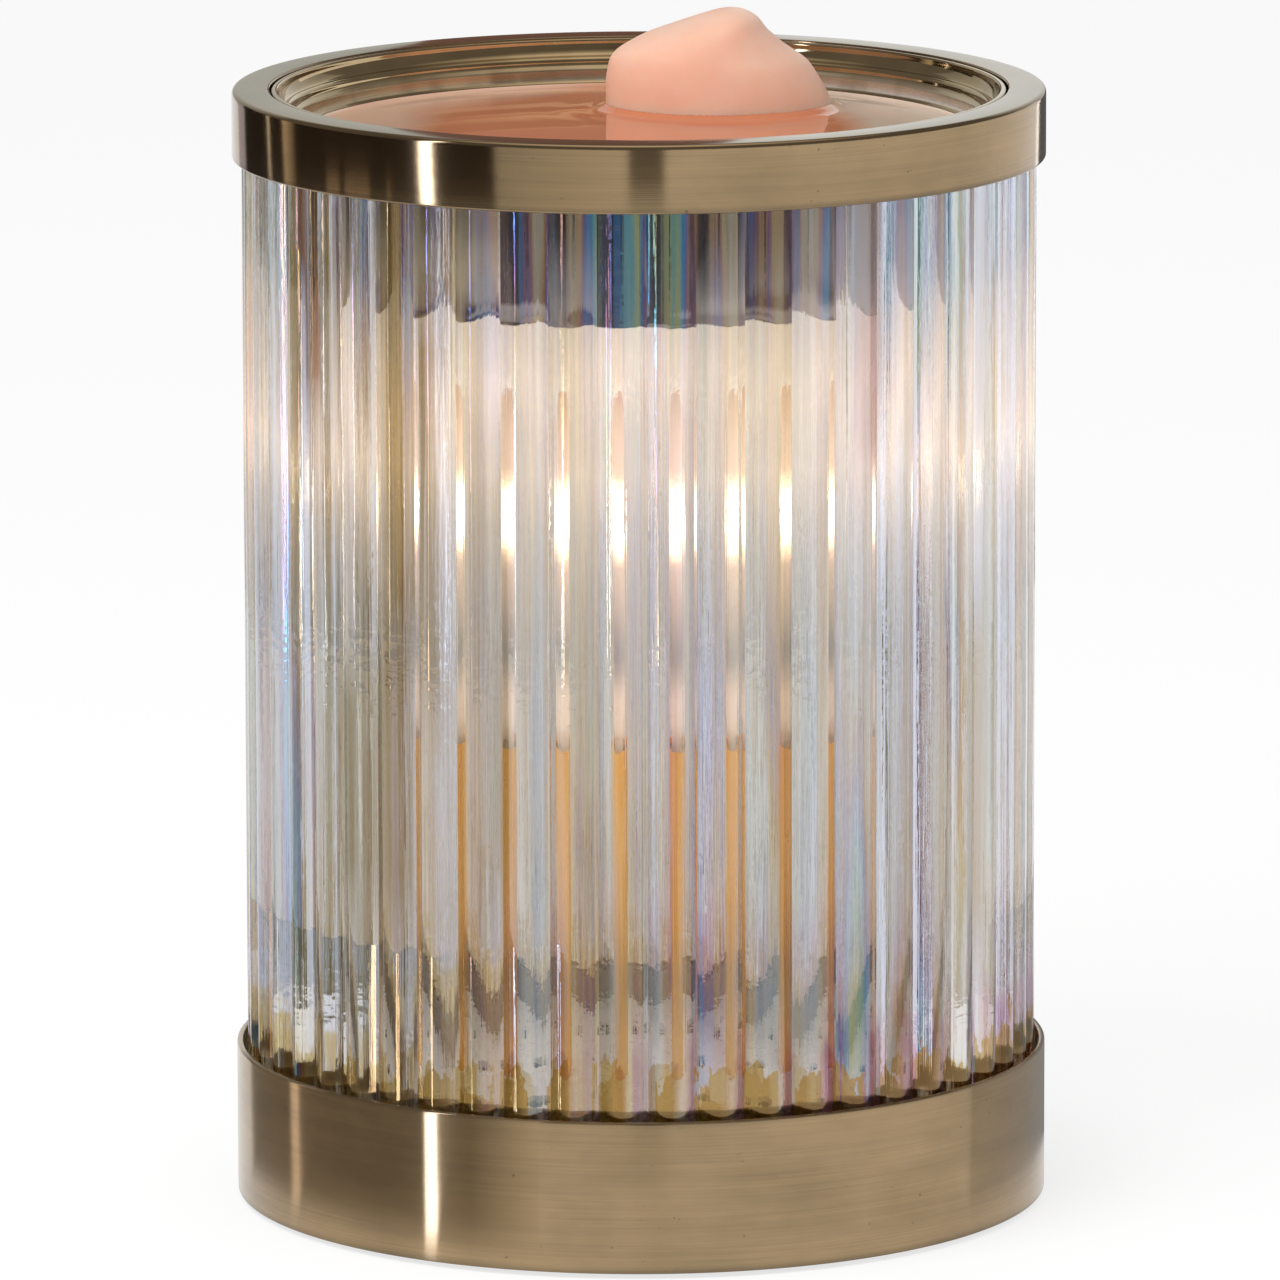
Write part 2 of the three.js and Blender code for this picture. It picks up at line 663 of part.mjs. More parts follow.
const rockerMesh = add('switch_rocker', switchRocker(), 'blackPlastic', switchGroup);
rockerMesh.position.set(0, pivotY, level.toggle);
add('switch_housing', switchHousing(), 'blackPlastic', switchGroup);
[-1, 1].forEach((side, i) => {
  const back = switchBack - clearance - tab.length;
  const [low, high] = [-1, 1].map((way) => level.toggle + (way * tab.width) / 2);
  const blade = slab(tab.sheet, back, switchBack - clearance, low, high);
  add(`switch_tab_${i + 1}`, blade.translate(side * tab.spread, 0, 0), 'brass', switchGroup);
});

// Cord bush in the back of the band

function cordBush() {
  const body = bush.bore + bush.wall;
  const outside = bandOuter + clearance;
  const inside = Math.sqrt(bandInner ** 2 - (body + bush.flange) ** 2) - clearance;
  const shape = turned([
    [bush.bore, inside - bush.backFlange], [body + bush.flange / 2, inside - bush.backFlange],
    [body + bush.flange / 2, inside], [body, inside], [body, outside], [body + bush.flange, outside],
    [body + bush.flange / 2, outside + bush.flangeThickness], [bush.bore, outside + bush.flangeThickness],
    [bush.bore, inside - bush.backFlange],
  ], smallSides);
  return shape.rotateX(-Math.PI / 2).translate(0, 0, level.bush);
}

add('cord_bush', cordBush(), 'blackPlastic');

// Terminal block on the base plate

const blockTop = level.plateTop + block.height;
const poles = [-1, 1].map((side) => block.x + (side * block.poleSpread) / 2);
const pitBottom = blockTop - block.recess;
const blockBody = box(block.width, block.length, level.plateTop, blockTop).translate(block.x, block.y, 0);

function atPole(x, radius, low, high) {
  return rod(radius, low, high, holeSides).translate(x, block.y, 0);
}

const pits = poles.map((x) => atPole(x, block.screw + clearance, pitBottom, blockTop + overrun));
add('terminal_block', cut(blockBody, pits), 'palePlastic');
poles.forEach((x, i) => {
  const screwBody = atPole(x, block.screw, pitBottom + clearance, blockTop - clearance);
  add(`terminal_screw_${i + 1}`, screwBody, 'steel');
});

// Inner leads: block to switch, switch to centre contact, and block to screw shell

const leadLevel = level.plateTop + lead.level;
const blockFront = block.y - block.length / 2 - clearance;
const stemFoot = level.stemBottom - clearance;
const tabBack = switchBack - clearance - tab.length - clearance - lead.radius;

function switchSpot(side, inward, height) {
  const spot = new THREE.Vector3(side * tab.spread, tabBack - inward, height);
  return spot.applyAxisAngle(new THREE.Vector3(0, 0, 1), radians(toggle.turn)).toArray();
}

function leadToSwitch() {
  const x = poles[1];
  return along([
    [x, blockFront, leadLevel + lead.radius], [x, blockFront - lead.level, leadLevel + lead.radius],
    [x + block.width / 2, blockFront - block.length / 2, leadLevel],
    switchSpot(-1, stem.below, leadLevel), switchSpot(-1, lead.level, level.toggle - tab.width / 2),
    switchSpot(-1, 0, level.toggle),
  ], lead.radius, lead.sides, lead.steps);
}

function leadUpStem(start, x, top) {
  return along([
    ...start, [x, lead.level, leadLevel + lead.radius], [x, 0, stemFoot], [x, 0, level.deckTop],
    [x, 0, level.stemTop], ...top,
  ], lead.radius, lead.sides, lead.steps);
}

const underPlate = level.contactSeat - clearance;
const throughPlate = level.contactTop - clearance;
const wireX = wireHoleX + contactPlate.wireHole;
const nearStem = nut.radius + lead.level;
add('lead_in', leadToSwitch(), 'blackPlastic');
add('lead_live', leadUpStem([
  switchSpot(1, 0, level.toggle), switchSpot(1, lead.level, level.toggle - tab.width / 2),
  [nearStem, nearStem, leadLevel],
], lead.spread, [[lead.spread, 0, underPlate]]), 'blackPlastic');
add('lead_neutral', leadUpStem([
  [poles[0], blockFront, leadLevel + lead.radius],
  [poles[0], blockFront - lead.level, leadLevel + lead.radius],
  [-nearStem, nearStem, leadLevel],
], -lead.spread, [
  [(wireX - lead.spread) / 2, 0, (level.stemTop + level.contactSeat) / 2], [wireX, 0, level.contactSeat],
  [wireX, 0, throughPlate],
]), 'palePlastic');

export default group;
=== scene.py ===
"""Electric wax warmer: the looks of its pieces, in the order in which it is put together.

Metres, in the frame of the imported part: the origin on the table under the base, +Z up, the front facing -Y.
The named sizes of the pieces and the points of their outlines are in millimetres.
"""

import math

import bmesh
import bpy
import numpy as np
from mathutils import Matrix


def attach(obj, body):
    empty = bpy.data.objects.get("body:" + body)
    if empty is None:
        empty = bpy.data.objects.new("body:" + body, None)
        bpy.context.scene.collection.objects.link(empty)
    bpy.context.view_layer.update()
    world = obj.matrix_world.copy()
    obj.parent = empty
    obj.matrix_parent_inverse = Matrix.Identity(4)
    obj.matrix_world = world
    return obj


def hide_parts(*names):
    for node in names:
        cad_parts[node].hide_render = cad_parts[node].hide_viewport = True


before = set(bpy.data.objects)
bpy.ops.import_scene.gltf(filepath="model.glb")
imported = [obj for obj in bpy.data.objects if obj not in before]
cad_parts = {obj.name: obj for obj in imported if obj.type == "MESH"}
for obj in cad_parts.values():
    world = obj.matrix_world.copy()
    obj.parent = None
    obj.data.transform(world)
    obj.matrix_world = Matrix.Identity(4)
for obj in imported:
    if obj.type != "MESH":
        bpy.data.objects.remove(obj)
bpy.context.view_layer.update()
mm = 0.001


# Camera: it stands about two metres in front on a long lens, and looks down on the wax by some ten degrees.
camera_place = (0, -1.98584, 0.4584)
camera_dip, camera_roll = 0.1844, -0.0023
lens_length, sensor_width = 361.6, 36
camera_data = bpy.data.cameras.new("camera")
camera_data.lens, camera_data.sensor_width = lens_length, sensor_width
camera = bpy.data.objects.new("camera", camera_data)
bpy.context.collection.objects.link(camera)
turned_down = Matrix.Rotation(math.pi / 2 - camera_dip, 4, "X") @ Matrix.Rotation(camera_roll, 4, "Z")
camera.matrix_world = Matrix.Translation(camera_place) @ turned_down
bpy.context.scene.camera = camera
bpy.context.scene.view_settings.view_transform = "Standard"


# Studio: a white sweep of table and wall that the camera, the metal and the glass see as white. Grey, brown
# and bright cards stand round the set and its foot, as a photographer's flags and strips do, and show only in
# what gleams and through the glass. A soft lamp above on the front left gives the wax its form.
def fill(tree, target, sockets):
    """Fills a shader node's inputs: a socket is linked, anything else becomes the input's own value."""
    for name, value in sockets.items():
        if isinstance(value, bpy.types.NodeSocket):
            tree.links.new(value, target.inputs[name])
        else:
            target.inputs[name].default_value = value


def node(tree, kind, sockets=(), **settings):
    """Adds a shader node of a kind, with its settings and inputs."""
    made = tree.nodes.new("ShaderNode" + kind)
    for name, value in settings.items():
        setattr(made, name, value)
    fill(tree, made, dict(sockets))
    return made


def sums(tree, operation, first, second=0.0, third=0.0):
    """One Math node: its result for two or three values or sockets."""
    return node(tree, "Math", {0: first, 1: second, 2: third}, operation=operation).outputs[0]


def mixed(tree, share, first, second):
    """A colour between two colours or sockets, by a share."""
    return node(tree, "Mix", {0: share, 6: first, 7: second}, data_type="RGBA").outputs[2]


def seen_rays(tree):
    """1 for rays from the camera, off gloss or through glass, which are to meet white, and 0 for the rest."""
    path = node(tree, "LightPath").outputs
    either = sums(tree, "MAXIMUM", path["Is Camera Ray"], path["Is Glossy Ray"])
    return sums(tree, "MAXIMUM", either, path["Is Transmission Ray"])


world = bpy.data.worlds.new("studio")
bpy.context.scene.world = world
world.use_nodes = True
sky = world.node_tree
sky_light = 0.62
sky_level = sums(sky, "MULTIPLY_ADD", seen_rays(sky), 1 - sky_light, sky_light)
fill(sky, sky.nodes["Background"], {"Color": (1, 1, 1, 1), "Strength": sky_level})


def grid_faces(rows, columns, wrap_rows=False, wrap_columns=True):
    """Quads between neighbouring points of a rows by columns grid, closed round where a side wraps."""
    row = np.arange(rows if wrap_rows else rows - 1)
    column = np.arange(columns if wrap_columns else columns - 1)
    a, b = np.meshgrid(row, column, indexing="ij")
    a_next, b_next = (a + 1) % rows, (b + 1) % columns
    corners = [a * columns + b, a * columns + b_next, a_next * columns + b_next, a_next * columns + b]
    return np.stack(corners, axis=-1).reshape(-1, 4)


def solid(name, points, faces, smooth_below=40):
    """A mesh object from points and faces: doubles merged, faces outwards, smooth except at sharp corners."""
    mesh = bpy.data.meshes.new(name)
    mesh.from_pydata(points.reshape(-1, 3).tolist(), [], faces.tolist())
    work = bmesh.new()
    work.from_mesh(mesh)
    bmesh.ops.remove_doubles(work, verts=work.verts, dist=1e-7)
    bmesh.ops.recalc_face_normals(work, faces=work.faces)
    work.to_mesh(mesh)
    work.free()
    mesh.shade_smooth()
    mesh.set_sharp_from_angle(angle=math.radians(smooth_below))
    made = bpy.data.objects.new(name, mesh)
    bpy.context.collection.objects.link(made)
    return made


def material(name):
    """A new node material with its tree and its Principled shader."""
    made = bpy.data.materials.new(name)
    made.use_nodes = True
    return made, made.node_tree, made.node_tree.nodes["Principled BSDF"]


table_reach, table_paint, table_glow = 3.0, 0.3, 0.74
table_corners = np.array([(-1, -1, 0), (1, -1, 0), (1, 1, 0), (-1, 1, 0)]) * table_reach
table = solid("table_top", table_corners, np.array([[0, 1, 2, 3]]))
table_white, tree, shader = material("table_white")
fill(tree, shader, {
    "Base Color": (table_paint, table_paint, table_paint, 1),
    "Roughness": 1.0,
    "Specular IOR Level": 0.0,
    "Emission Color": (1, 1, 1, 1),
    "Emission Strength": sums(tree, "MULTIPLY", seen_rays(tree), table_glow),
})
table.data.materials.append(table_white)


def glowing_card(card_object, share, colour, end_colour):
    """Gives a card its light: one colour blends into another by a share that each of its points keeps."""
    kept = card_object.data.attributes.new("along", "FLOAT", "POINT")
    kept.data.foreach_set("value", np.clip(share, 0, 1))
    look, tree, shader = material(card_object.name)
    along = node(tree, "Attribute", attribute_name="along").outputs["Fac"]
    blend = mixed(tree, along, (*colour, 1), (*end_colour, 1))
    lamp = node(tree, "Emission", {"Color": blend, "Strength": 1.0})
    tree.links.new(lamp.outputs[0], tree.nodes["Material Output"].inputs["Surface"])
    card_object.data.materials.append(look)
    card_object.visible_camera = card_object.visible_diffuse = card_object.visible_shadow = False


card_points, far_card, near_card, foot_card, glass_card = 33, 0.55, 0.545, 0.078, 0.2
card_top, flag_foot, foot_top, pool_low, pool_top = 0.26, 0.06, 0.045, 0.17, 0.5


def card(name, start, end, low, high, colour, end_colour=None,
         reach=far_card, through_glass=True, upward=False):
    """A curved card round the set: degrees from the front towards +X, heights and distance in metres. Its two
    colours blend along its turn, or upwards."""
    turn = np.radians(np.linspace(start, end, card_points))[None, :]
    height = np.array([low, high])[:, None]
    x, y = reach * np.sin(turn) + 0 * height, -reach * np.cos(turn) + 0 * height
    points = np.stack([x, y, height + 0 * turn], axis=-1)
    made = solid(name, points, grid_faces(2, card_points, wrap_columns=False))
    placed = np.array([point.co for point in made.data.vertices])
    turned_by = np.degrees(np.arctan2(placed[:, 0], -placed[:, 1]))
    from_start = (turned_by - start + 180) % 360 - 180
    share = (placed[:, 2] - low) / (high - low) if upward else from_start / (end - start)
    glowing_card(made, share, colour, end_colour or colour)
    made.visible_transmission = through_glass
    return made


card("flag_left", -142, -38.5, flag_foot, card_top, (0.03, 0.024, 0.019), (0.05, 0.04, 0.03))
card("flag_foot_left", -142, -38.5, 0, flag_foot, (0.66, 0.64, 0.62), (0.04, 0.032, 0.025), upward=True)
card("strip_left", -60.6, -56.9, 0, 0.5, (8.5, 9.0, 10.5), reach=near_card)
card("strip_gold", -114.2, -107.7, 0, card_top, (0.9, 0.8, 0.62), (0.1, 0.08, 0.06), reach=near_card)
card("strip_thin", -123.3, -122.3, 0, card_top, (1.7, 1.6, 1.4), reach=near_card)
card("board_back", -94.3, -89.1, 0, 0.0785, (0.50, 0.42, 0.36), reach=near_card)
card("board_side", -87, -77.8, 0, 0.077, (0.50, 0.42, 0.36), reach=near_card)
card("line_side", -71.4, -70.8, 0, 0.077, (0.8, 0.65, 0.45), reach=near_card)
card("grey_front", -38.5, -2.7, 0, card_top, (0.56, 0.56, 0.54), (0.88, 0.88, 0.86))
card("patch_front", -2.7, 6.6, 0, 0.0775, (0.74, 0.76, 0.74))
card("patch_top", -2.7, 6.6, 0.0775, card_top, (0.2, 0.19, 0.18))
card("white_right", 6.6, 147, 0, card_top, (0.94, 0.94, 0.94), (1.0, 1.0, 1.0))
card("line_right", 147, 149.5, 0, card_top, (2.2, 2.2, 2.2))
gloss_cards = [
    ("dark_right", 149.5, 172, 0, 0.17, (0.12, 0.12, 0.12), None),
    ("grey_left", -150, -142, 0, card_top, (0.5, 0.46, 0.5), None),
    ("pool_left", -175.3, -130, pool_low, pool_top, (0.60, 0.62, 0.58), (0.3, 0.3, 0.3)),
    ("pool_brown", -182, -175.3, pool_low, pool_top, (0.2, 0.11, 0.08), None),
    ("pool_right", 130, 178, pool_low, pool_top, (0.3, 0.3, 0.3), (0.95, 1.0, 1.0)),
]
for name, start, end, low, high, colour, end_colour in gloss_cards:
    card(name, start, end, low, high, colour, end_colour, through_glass=False)

# Low cards round the foot, which the band reflects
foot_strip = foot_card - 0.001
foot_cards = [
    ("low_flag_left", -95, -29, foot_card, (0.30, 0.27, 0.23), (0.34, 0.32, 0.28)),
    ("low_fade_left", -29, -17, foot_card, (0.34, 0.32, 0.28), (0.92, 0.91, 0.88)),
    ("low_strip", -37.5, -35.2, foot_strip, (6.5, 7.2, 9.0), None),
    ("low_strip_soft", -72.6, -69.6, foot_strip, (1.5, 1.35, 1.25), None),
    ("low_grey_right", 66, 125, foot_card, (0.7, 0.7, 0.7), (0.2, 0.2, 0.2)),
]
for name, start, end, reach, colour, end_colour in foot_cards:
    card(name, start, end, 0, foot_top, colour, end_colour, reach=reach, through_glass=False)

# Cards near the glass, met only by rays that pass through it
glass_cards = [
    ("through_left", -88, -62, (0.60, 0.64, 0.70), (0.70, 0.72, 0.76)),
    ("through_gold", -99, -88, (0.20, 0.19, 0.09), (0.42, 0.28, 0.10)),
    ("through_gap", -105, -99, (0.56, 0.62, 0.66), (0.80, 0.72, 0.62)),
    ("through_olive", -114, -105, (0.12, 0.12, 0.06), (0.30, 0.17, 0.05)),
    ("through_far_left", -142, -114, (0.62, 0.68, 0.78), (0.78, 0.80, 0.84)),
    ("through_back", -208, -142, (0.78, 0.68, 0.56), (0.95, 0.84, 0.70)),
    ("through_right", 112, 152, (0.84, 0.87, 0.92), (0.98, 1.02, 1.08)),
    ("through_gold_right", 105, 112, (0.45, 0.36, 0.18), (0.62, 0.52, 0.38)),
    ("through_far_right", 62, 105, (0.76, 0.80, 0.88), (0.86, 0.93, 1.02)),
]
for name, start, end, low_colour, high_colour in glass_cards:
    seen = card(name, start, end, 0, card_top, low_colour, high_colour, reach=glass_card, upward=True)
    seen.visible_glossy = False

# Ceiling: a grey dome without its crown, which grows pale upwards
dome_rows, dome_sides, dome_end, dome_reach, dome_foot, dome_rise = 9, 48, 82, 0.6, 0.2, 0.75
pale_from, pale_over = 0.72, 0.2
dome_angle = np.radians(np.linspace(0, dome_end, dome_rows))[:, None]
dome_turn = np.linspace(0, 2 * np.pi, dome_sides, endpoint=False)[None, :]
dome_radius, dome_height = dome_reach * np.cos(dome_angle), dome_foot + dome_rise * np.sin(dome_angle)
dome_points = [dome_radius * np.cos(dome_turn), dome_radius * np.sin(dome_turn), dome_height + 0 * dome_turn]
dome = solid("grey_ceiling", np.stack(dome_points, axis=-1), grid_faces(dome_rows, dome_sides))
dome_places = np.array([point.co[2] for point in dome.data.vertices])
glowing_card(dome, (dome_places - pale_from) / pale_over, (0.18, 0.17, 0.16), (0.95, 0.92, 0.86))
dome.visible_transmission = False

lamp_size, lamp_power, lamp_turn, lamp_tilt, lamp_away = 0.9, 9.0, -38, 40, 1.3
lamp_data = bpy.data.lights.new("soft_lamp", "AREA")
lamp_data.size, lamp_data.energy = lamp_size, lamp_power
soft_lamp = bpy.data.objects.new("soft_lamp", lamp_data)
aimed = Matrix.Rotation(math.radians(lamp_turn), 4, "Z") @ Matrix.Rotation(math.radians(lamp_tilt), 4, "X")
soft_lamp.matrix_world = aimed @ Matrix.Translation((0, 0, lamp_away))
soft_lamp.visible_glossy = soft_lamp.visible_transmission = False
bpy.context.collection.objects.link(soft_lamp)


# Base band: a strip of brass rolled into a ring, brushed round its length and lacquered over an antique
# toning. It has a window for the switch and a hole for the cord bush at its back.
def corner_arcs(corners, radius, steps=4):
    """A closed outline with its corners eased: each corner becomes a quadratic curve that starts and ends a
    radius away from it along its two sides, or near their middle where a side is short."""
    here = np.asarray(corners, float)
    sides = [np.roll(here, shift, axis=0) - here for shift in (1, -1)]
    lengths = [np.linalg.norm(side, axis=1, keepdims=True) for side in sides]
    radius = np.broadcast_to(np.asarray(radius, float), len(here))[:, None]
    near_middle = 0.48
    start, end = [
        here + side / np.maximum(length, 1e-9) * np.minimum(radius, near_middle * length)
        for side, length in zip(sides, lengths)
    ]
    share = np.linspace(0, 1, steps + 1)[None, :, None]
    from_start, to_end = (1 - share) ** 2 * start[:, None], share**2 * end[:, None]
    curve = from_start + 2 * share * (1 - share) * here[:, None] + to_end
    return curve.reshape(-1, 2)


def turned(name, outline, sides=192, smooth_below=40):
    """A turned piece: a closed outline of (radius, height) points in mm goes round Z in equal steps."""
    outline = np.asarray(outline, float) * mm
    turn = np.linspace(0, 2 * np.pi, sides, endpoint=False)[None, :]
    radius, height = outline[:, 0, None], outline[:, 1, None]
    points = np.stack([radius * np.cos(turn), radius * np.sin(turn), height + 0 * turn], axis=-1)
    return solid(name, points, grid_faces(len(outline), sides, wrap_rows=True), smooth_below)


def object_place(tree):
    """The place on a piece in metres, in the frame of the part."""
    return node(tree, "TexCoord").outputs["Object"]


def place_parts(tree):
    """The place on a piece in its three parts: towards +X, towards +Y, and its height."""
    return tuple(node(tree, "SeparateXYZ", {0: object_place(tree)}).outputs)


def from_axis(tree):
    """Distance from the upright axis: the length of the place once its height is taken out."""
    level = node(tree, "VectorMath", {0: object_place(tree), 1: (1, 1, 0)}, operation="MULTIPLY")
    return node(tree, "VectorMath", {0: level.outputs[0]}, operation="LENGTH").outputs["Value"]


def noise(tree, scale, detail=2.0):
    """Noise alike in all directions, at a scale in cycles a metre."""
    sockets = {"Vector": object_place(tree), "Scale": scale, "Detail": detail}
    return node(tree, "TexNoise", sockets).outputs[0]


def grain(tree, along, across, detail=3.0):
    """Noise drawn out round the piece: scales in cycles a metre level with the table and up the piece."""
    drawn = node(tree, "Mapping", {"Vector": object_place(tree), "Scale": (along, along, across)}).outputs[0]
    sockets = {"Vector": drawn, "Scale": 1.0, "Detail": detail, "Roughness": 0.6}
    return node(tree, "TexNoise", sockets).outputs[0]


def spread(tree, value, low, high, to_low, to_high):
    """A value taken from one range to another, and held there."""
    sockets = {"Value": value, "From Min": low, "From Max": high, "To Min": to_low, "To Max": to_high}
    return node(tree, "MapRange", sockets).outputs[0]


def total(tree, values):
    """Several values added up."""
    result = values[0]
    for value in values[1:]:
        result = sums(tree, "ADD", result, value)
    return result


def bumped(tree, pattern, strength, depth):
    """The tilt of a surface that a pattern raises: its strength as a share, and its depth in metres."""
    return node(tree, "Bump", {"Height": pattern, "Strength": strength, "Distance": depth}).outputs[0]


# Widths in mm of the painted shade along the lower and upper edges, and radii in mm over which the darkening
# inside the outer wall fades out
low_shade_width, high_shade_width, wall_dark, wall_clear = 1.1, 0.7, 62.2, 63.0


def brushed(name, colour, dark, roughness, stretch, lowest, highest):
    """Brushed antique metal: drawn-out grain in colour, gloss and bump, cloudy toning, a few dark specks,
    painted shade that darkens the lower and upper edges where the piece meets the table and the glass, and
    darkening on what lies inside the outer wall. Heights are in mm."""
    made, tree, shader = material(name)
    fine = grain(tree, 28, 5200, detail=4.0)
    broad = grain(tree, 16, 420, detail=2.0)
    cloud = grain(tree, 34, 60, detail=4.0)
    speck = noise(tree, 900.0)
    height = place_parts(tree)[2]
    # Painted shade: the lowest and highest strips of the piece are darkened where it meets the table and the
    # glass
    painted_low_shade = spread(tree, height, lowest * mm, (lowest + low_shade_width) * mm, 0.55, 0.0)
    painted_high_shade = spread(tree, height, (highest - high_shade_width) * mm, highest * mm, 0.0, 0.25)
    inside = spread(tree, from_axis(tree), wall_dark * mm, wall_clear * mm, 0.1, 0.0)
    toning_and_shade = total(tree, [
        spread(tree, fine, 0.3, 0.7, 0.0, 0.2),
        spread(tree, broad, 0.35, 0.65, 0.0, 0.13),
        spread(tree, cloud, 0.42, 0.7, 0.0, 0.3),
        total(tree, [painted_low_shade, painted_high_shade, inside]),
        spread(tree, speck, 0.735, 0.76, 0.0, 0.5),
    ])
    fill(tree, shader, {
        "Base Color": mixed(tree, toning_and_shade, (*colour, 1), (*dark, 1)),
        "Metallic": 1.0,
        "Roughness": sums(tree, "MULTIPLY_ADD", fine, 0.3 * roughness, 0.85 * roughness),
        "Anisotropic": stretch,
        "Anisotropic Rotation": 0.25,
        "Tangent": node(tree, "Tangent", direction_type="RADIAL", axis="Z").outputs[0],
        "Normal": bumped(tree, fine, 0.05, 0.0001),
    })
    return made


def cut_through(piece, cutter):
    """Cuts a closed shape out of a piece, and takes the shape away."""
    cut = piece.modifiers.new("cut", "BOOLEAN")
    cut.object, cut.operation, cut.solver = cutter, "DIFFERENCE", "EXACT"
    evaluated = piece.evaluated_get(bpy.context.evaluated_depsgraph_get())
    mesh = bpy.data.meshes.new_from_object(evaluated)
    piece.modifiers.remove(cut)
    piece.data = mesh
    bpy.data.objects.remove(cutter)


brass, brass_tone_and_shade = (0.42, 0.295, 0.165), (0.15, 0.115, 0.075)
band_inner, band_outer, band_low, band_high = 62.75, 63.75, 0.8, 24.6
band_outline = [
    (band_inner, band_low), (band_outer, band_low), (band_outer, band_high), (band_inner, band_high),
]
band_rounding = [0.15, 0.3, 0.45, 0.35]
band = turned("brass_band", corner_arcs(band_outline, band_rounding), sides=256)
switch_turn, switch_width, switch_low, switch_high = -42, 18.6, 3.9, 16.1
bush_height, bush_hole = 9.7, 5.3
cut_past = 3

window_x, window_y = switch_width / 2 * mm, cut_past * mm
box_corners = np.array([(x, y, z) for x in (-1, 1) for y in (-1, 1) for z in (0, 1)], float)
box_faces = np.array([(0, 1, 3, 2), (4, 6, 7, 5), (0, 4, 5, 1), (2, 3, 7, 6), (0, 2, 6, 4), (1, 5, 7, 3)])
window_box = box_corners * (window_x, window_y, (switch_high - switch_low) * mm)
window_box += (0, band_outer * mm, switch_low * mm)
window_turn = np.array(Matrix.Rotation(math.radians(switch_turn), 3, "Z"))
cut_through(band, solid("window", window_box @ window_turn.T, box_faces))


def round_bar(name, radius, start, end, height, sides=48):
    """A bar along Y between two places, at a height, all in mm: circles joined to their middle points."""
    turn = np.linspace(0, 2 * np.pi, sides, endpoint=False)[None, :]
    size = np.array([0, radius, radius, 0])[:, None]
    place = np.array([start, start, end, end])[:, None]
    points = np.stack([size * np.cos(turn), place + 0 * turn, height + size * np.sin(turn)], axis=-1)
    return solid(name, points * mm, grid_faces(4, sides))


cord_hole = round_bar("cord_hole", bush_hole, band_inner - cut_past, band_outer + cut_past, bush_height)
cut_through(band, cord_hole)
band.data.materials.append(brushed("brushed_brass_band", brass, brass_tone_and_shade, 0.2, 1.0, band_low, band_high))
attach(band, "base")
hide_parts("base_band")


# Base plate, posts and screws: a steel disc painted black closes the base from below, held by three screws
# in turned posts, and cooled through a ring of holes.
def dress(names, look):
    """Gives a finish to solids that keep their own shape."""
    for name in names:
        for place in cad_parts[name].material_slots:
            place.link, place.material = "OBJECT", look


def plain(name, colour, second, roughness, metallic=0.0, scale=600.0, bump=0.0, **sockets):
    """A cloudy finish: noise at a scale in cycles a metre moves the colour, the gloss and the surface."""
    made, tree, shader = material(name)
    pattern = noise(tree, scale, 4.0)
    fill(tree, shader, {
        "Base Color": mixed(tree, spread(tree, pattern, 0.35, 0.65, 0.0, 1.0), (*colour, 1), (*second, 1)),
        "Metallic": metallic,
        "Roughness": spread(tree, pattern, 0.3, 0.7, roughness * 0.85, roughness * 1.15),
        **{key.replace("_", " "): value for key, value in sockets.items()},
    })
    if bump:
        fill(tree, shader, {"Normal": bumped(tree, pattern, bump, 0.0002)})
    return made


black_paint = plain("black_paint", (0.018, 0.018, 0.019), (0.03, 0.03, 0.031), 0.42, scale=2500.0, bump=0.25)
bright_steel = plain("bright_steel", (0.52, 0.51, 0.5), (0.42, 0.41, 0.4), 0.3, metallic=1.0, scale=1400.0)
dress(["base_plate"], black_paint)
dress([f"plate_{kind}_{i}" for kind in ("post", "screw") for i in (1, 2, 3)], bright_steel)


# Feet: four moulded rubber discs stuck under the plate, with a rounded edge and a shallow hollow below.
rubber = plain("foot_rubber", (0.022, 0.022, 0.022), (0.035, 0.034, 0.033), 0.75, scale=1800.0, bump=0.3)
foot_radius, foot_height, foot_pitch, foot_taper = 6.0, 1.6, 50.0, 0.25
hollow_depth, hollow_radius, tread_inner = 0.25, foot_radius - 1.6, foot_radius - 1.2
foot_outline = [
    (0, hollow_depth), (hollow_radius, hollow_depth), (tread_inner, 0), (foot_radius, 0),
    (foot_radius - foot_taper, foot_height), (0, foot_height),
]
foot_rounding = [0, 0.2, 0.2, 0.4, 0.2, 0]
for i, turn in enumerate(np.radians([45, 135, 225, 315])):
    rubber_foot = turned(f"rubber_foot_{i + 1}", corner_arcs(foot_outline, foot_rounding), sides=48)
    shift = Matrix.Translation((foot_pitch * mm * math.cos(turn), foot_pitch * mm * math.sin(turn), 0))
    rubber_foot.data.transform(shift)
    rubber_foot.data.materials.append(rubber)
    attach(rubber_foot, "base")
    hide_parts(f"foot_{i + 1}")


# Deck: a pressed steel pan, plated and polished to a pale champagne, that fills the band and carries the
# glass and the lamp. Air rises through its eight holes.
champagne = plain("champagne_plate", (0.94, 0.92, 0.86), (0.80, 0.76, 0.66), 0.3, metallic=0.3, scale=240.0)
dress(["deck_pan"], champagne)


# Lower ring of silicone: an L section that the glass stands on and is centred by. Its dark upstand inside the
# glass's foot is painted shade: a dark sheet that gives the shade just above the band.
silicone = plain("dark_silicone", (0.06, 0.045, 0.034), (0.26, 0.22, 0.18), 0.34, scale=1500.0, bump=0.5)
# The upstand, dark in this silicone, stands in for shade at the glass's foot
seal_inner, seal_outer, shade_upstand_outer = 55.6, 62.1, 56.7
seal_low, seal_step, seal_high = 19.6, 20.8, 25.0
seal_outline = [
    (seal_inner, seal_low), (seal_outer, seal_low), (seal_outer, seal_step),
    (shade_upstand_outer, seal_step), (shade_upstand_outer, seal_high), (seal_inner, seal_high),
]
seal_rounding = [0.1, 0.3, 0.3, 0.2, 0.35, 0.35]
lower_seal = turned("lower_seal", corner_arcs(seal_outline, seal_rounding))
lower_seal.data.materials.append(silicone)
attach(lower_seal, "base")
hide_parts("lower_gasket")
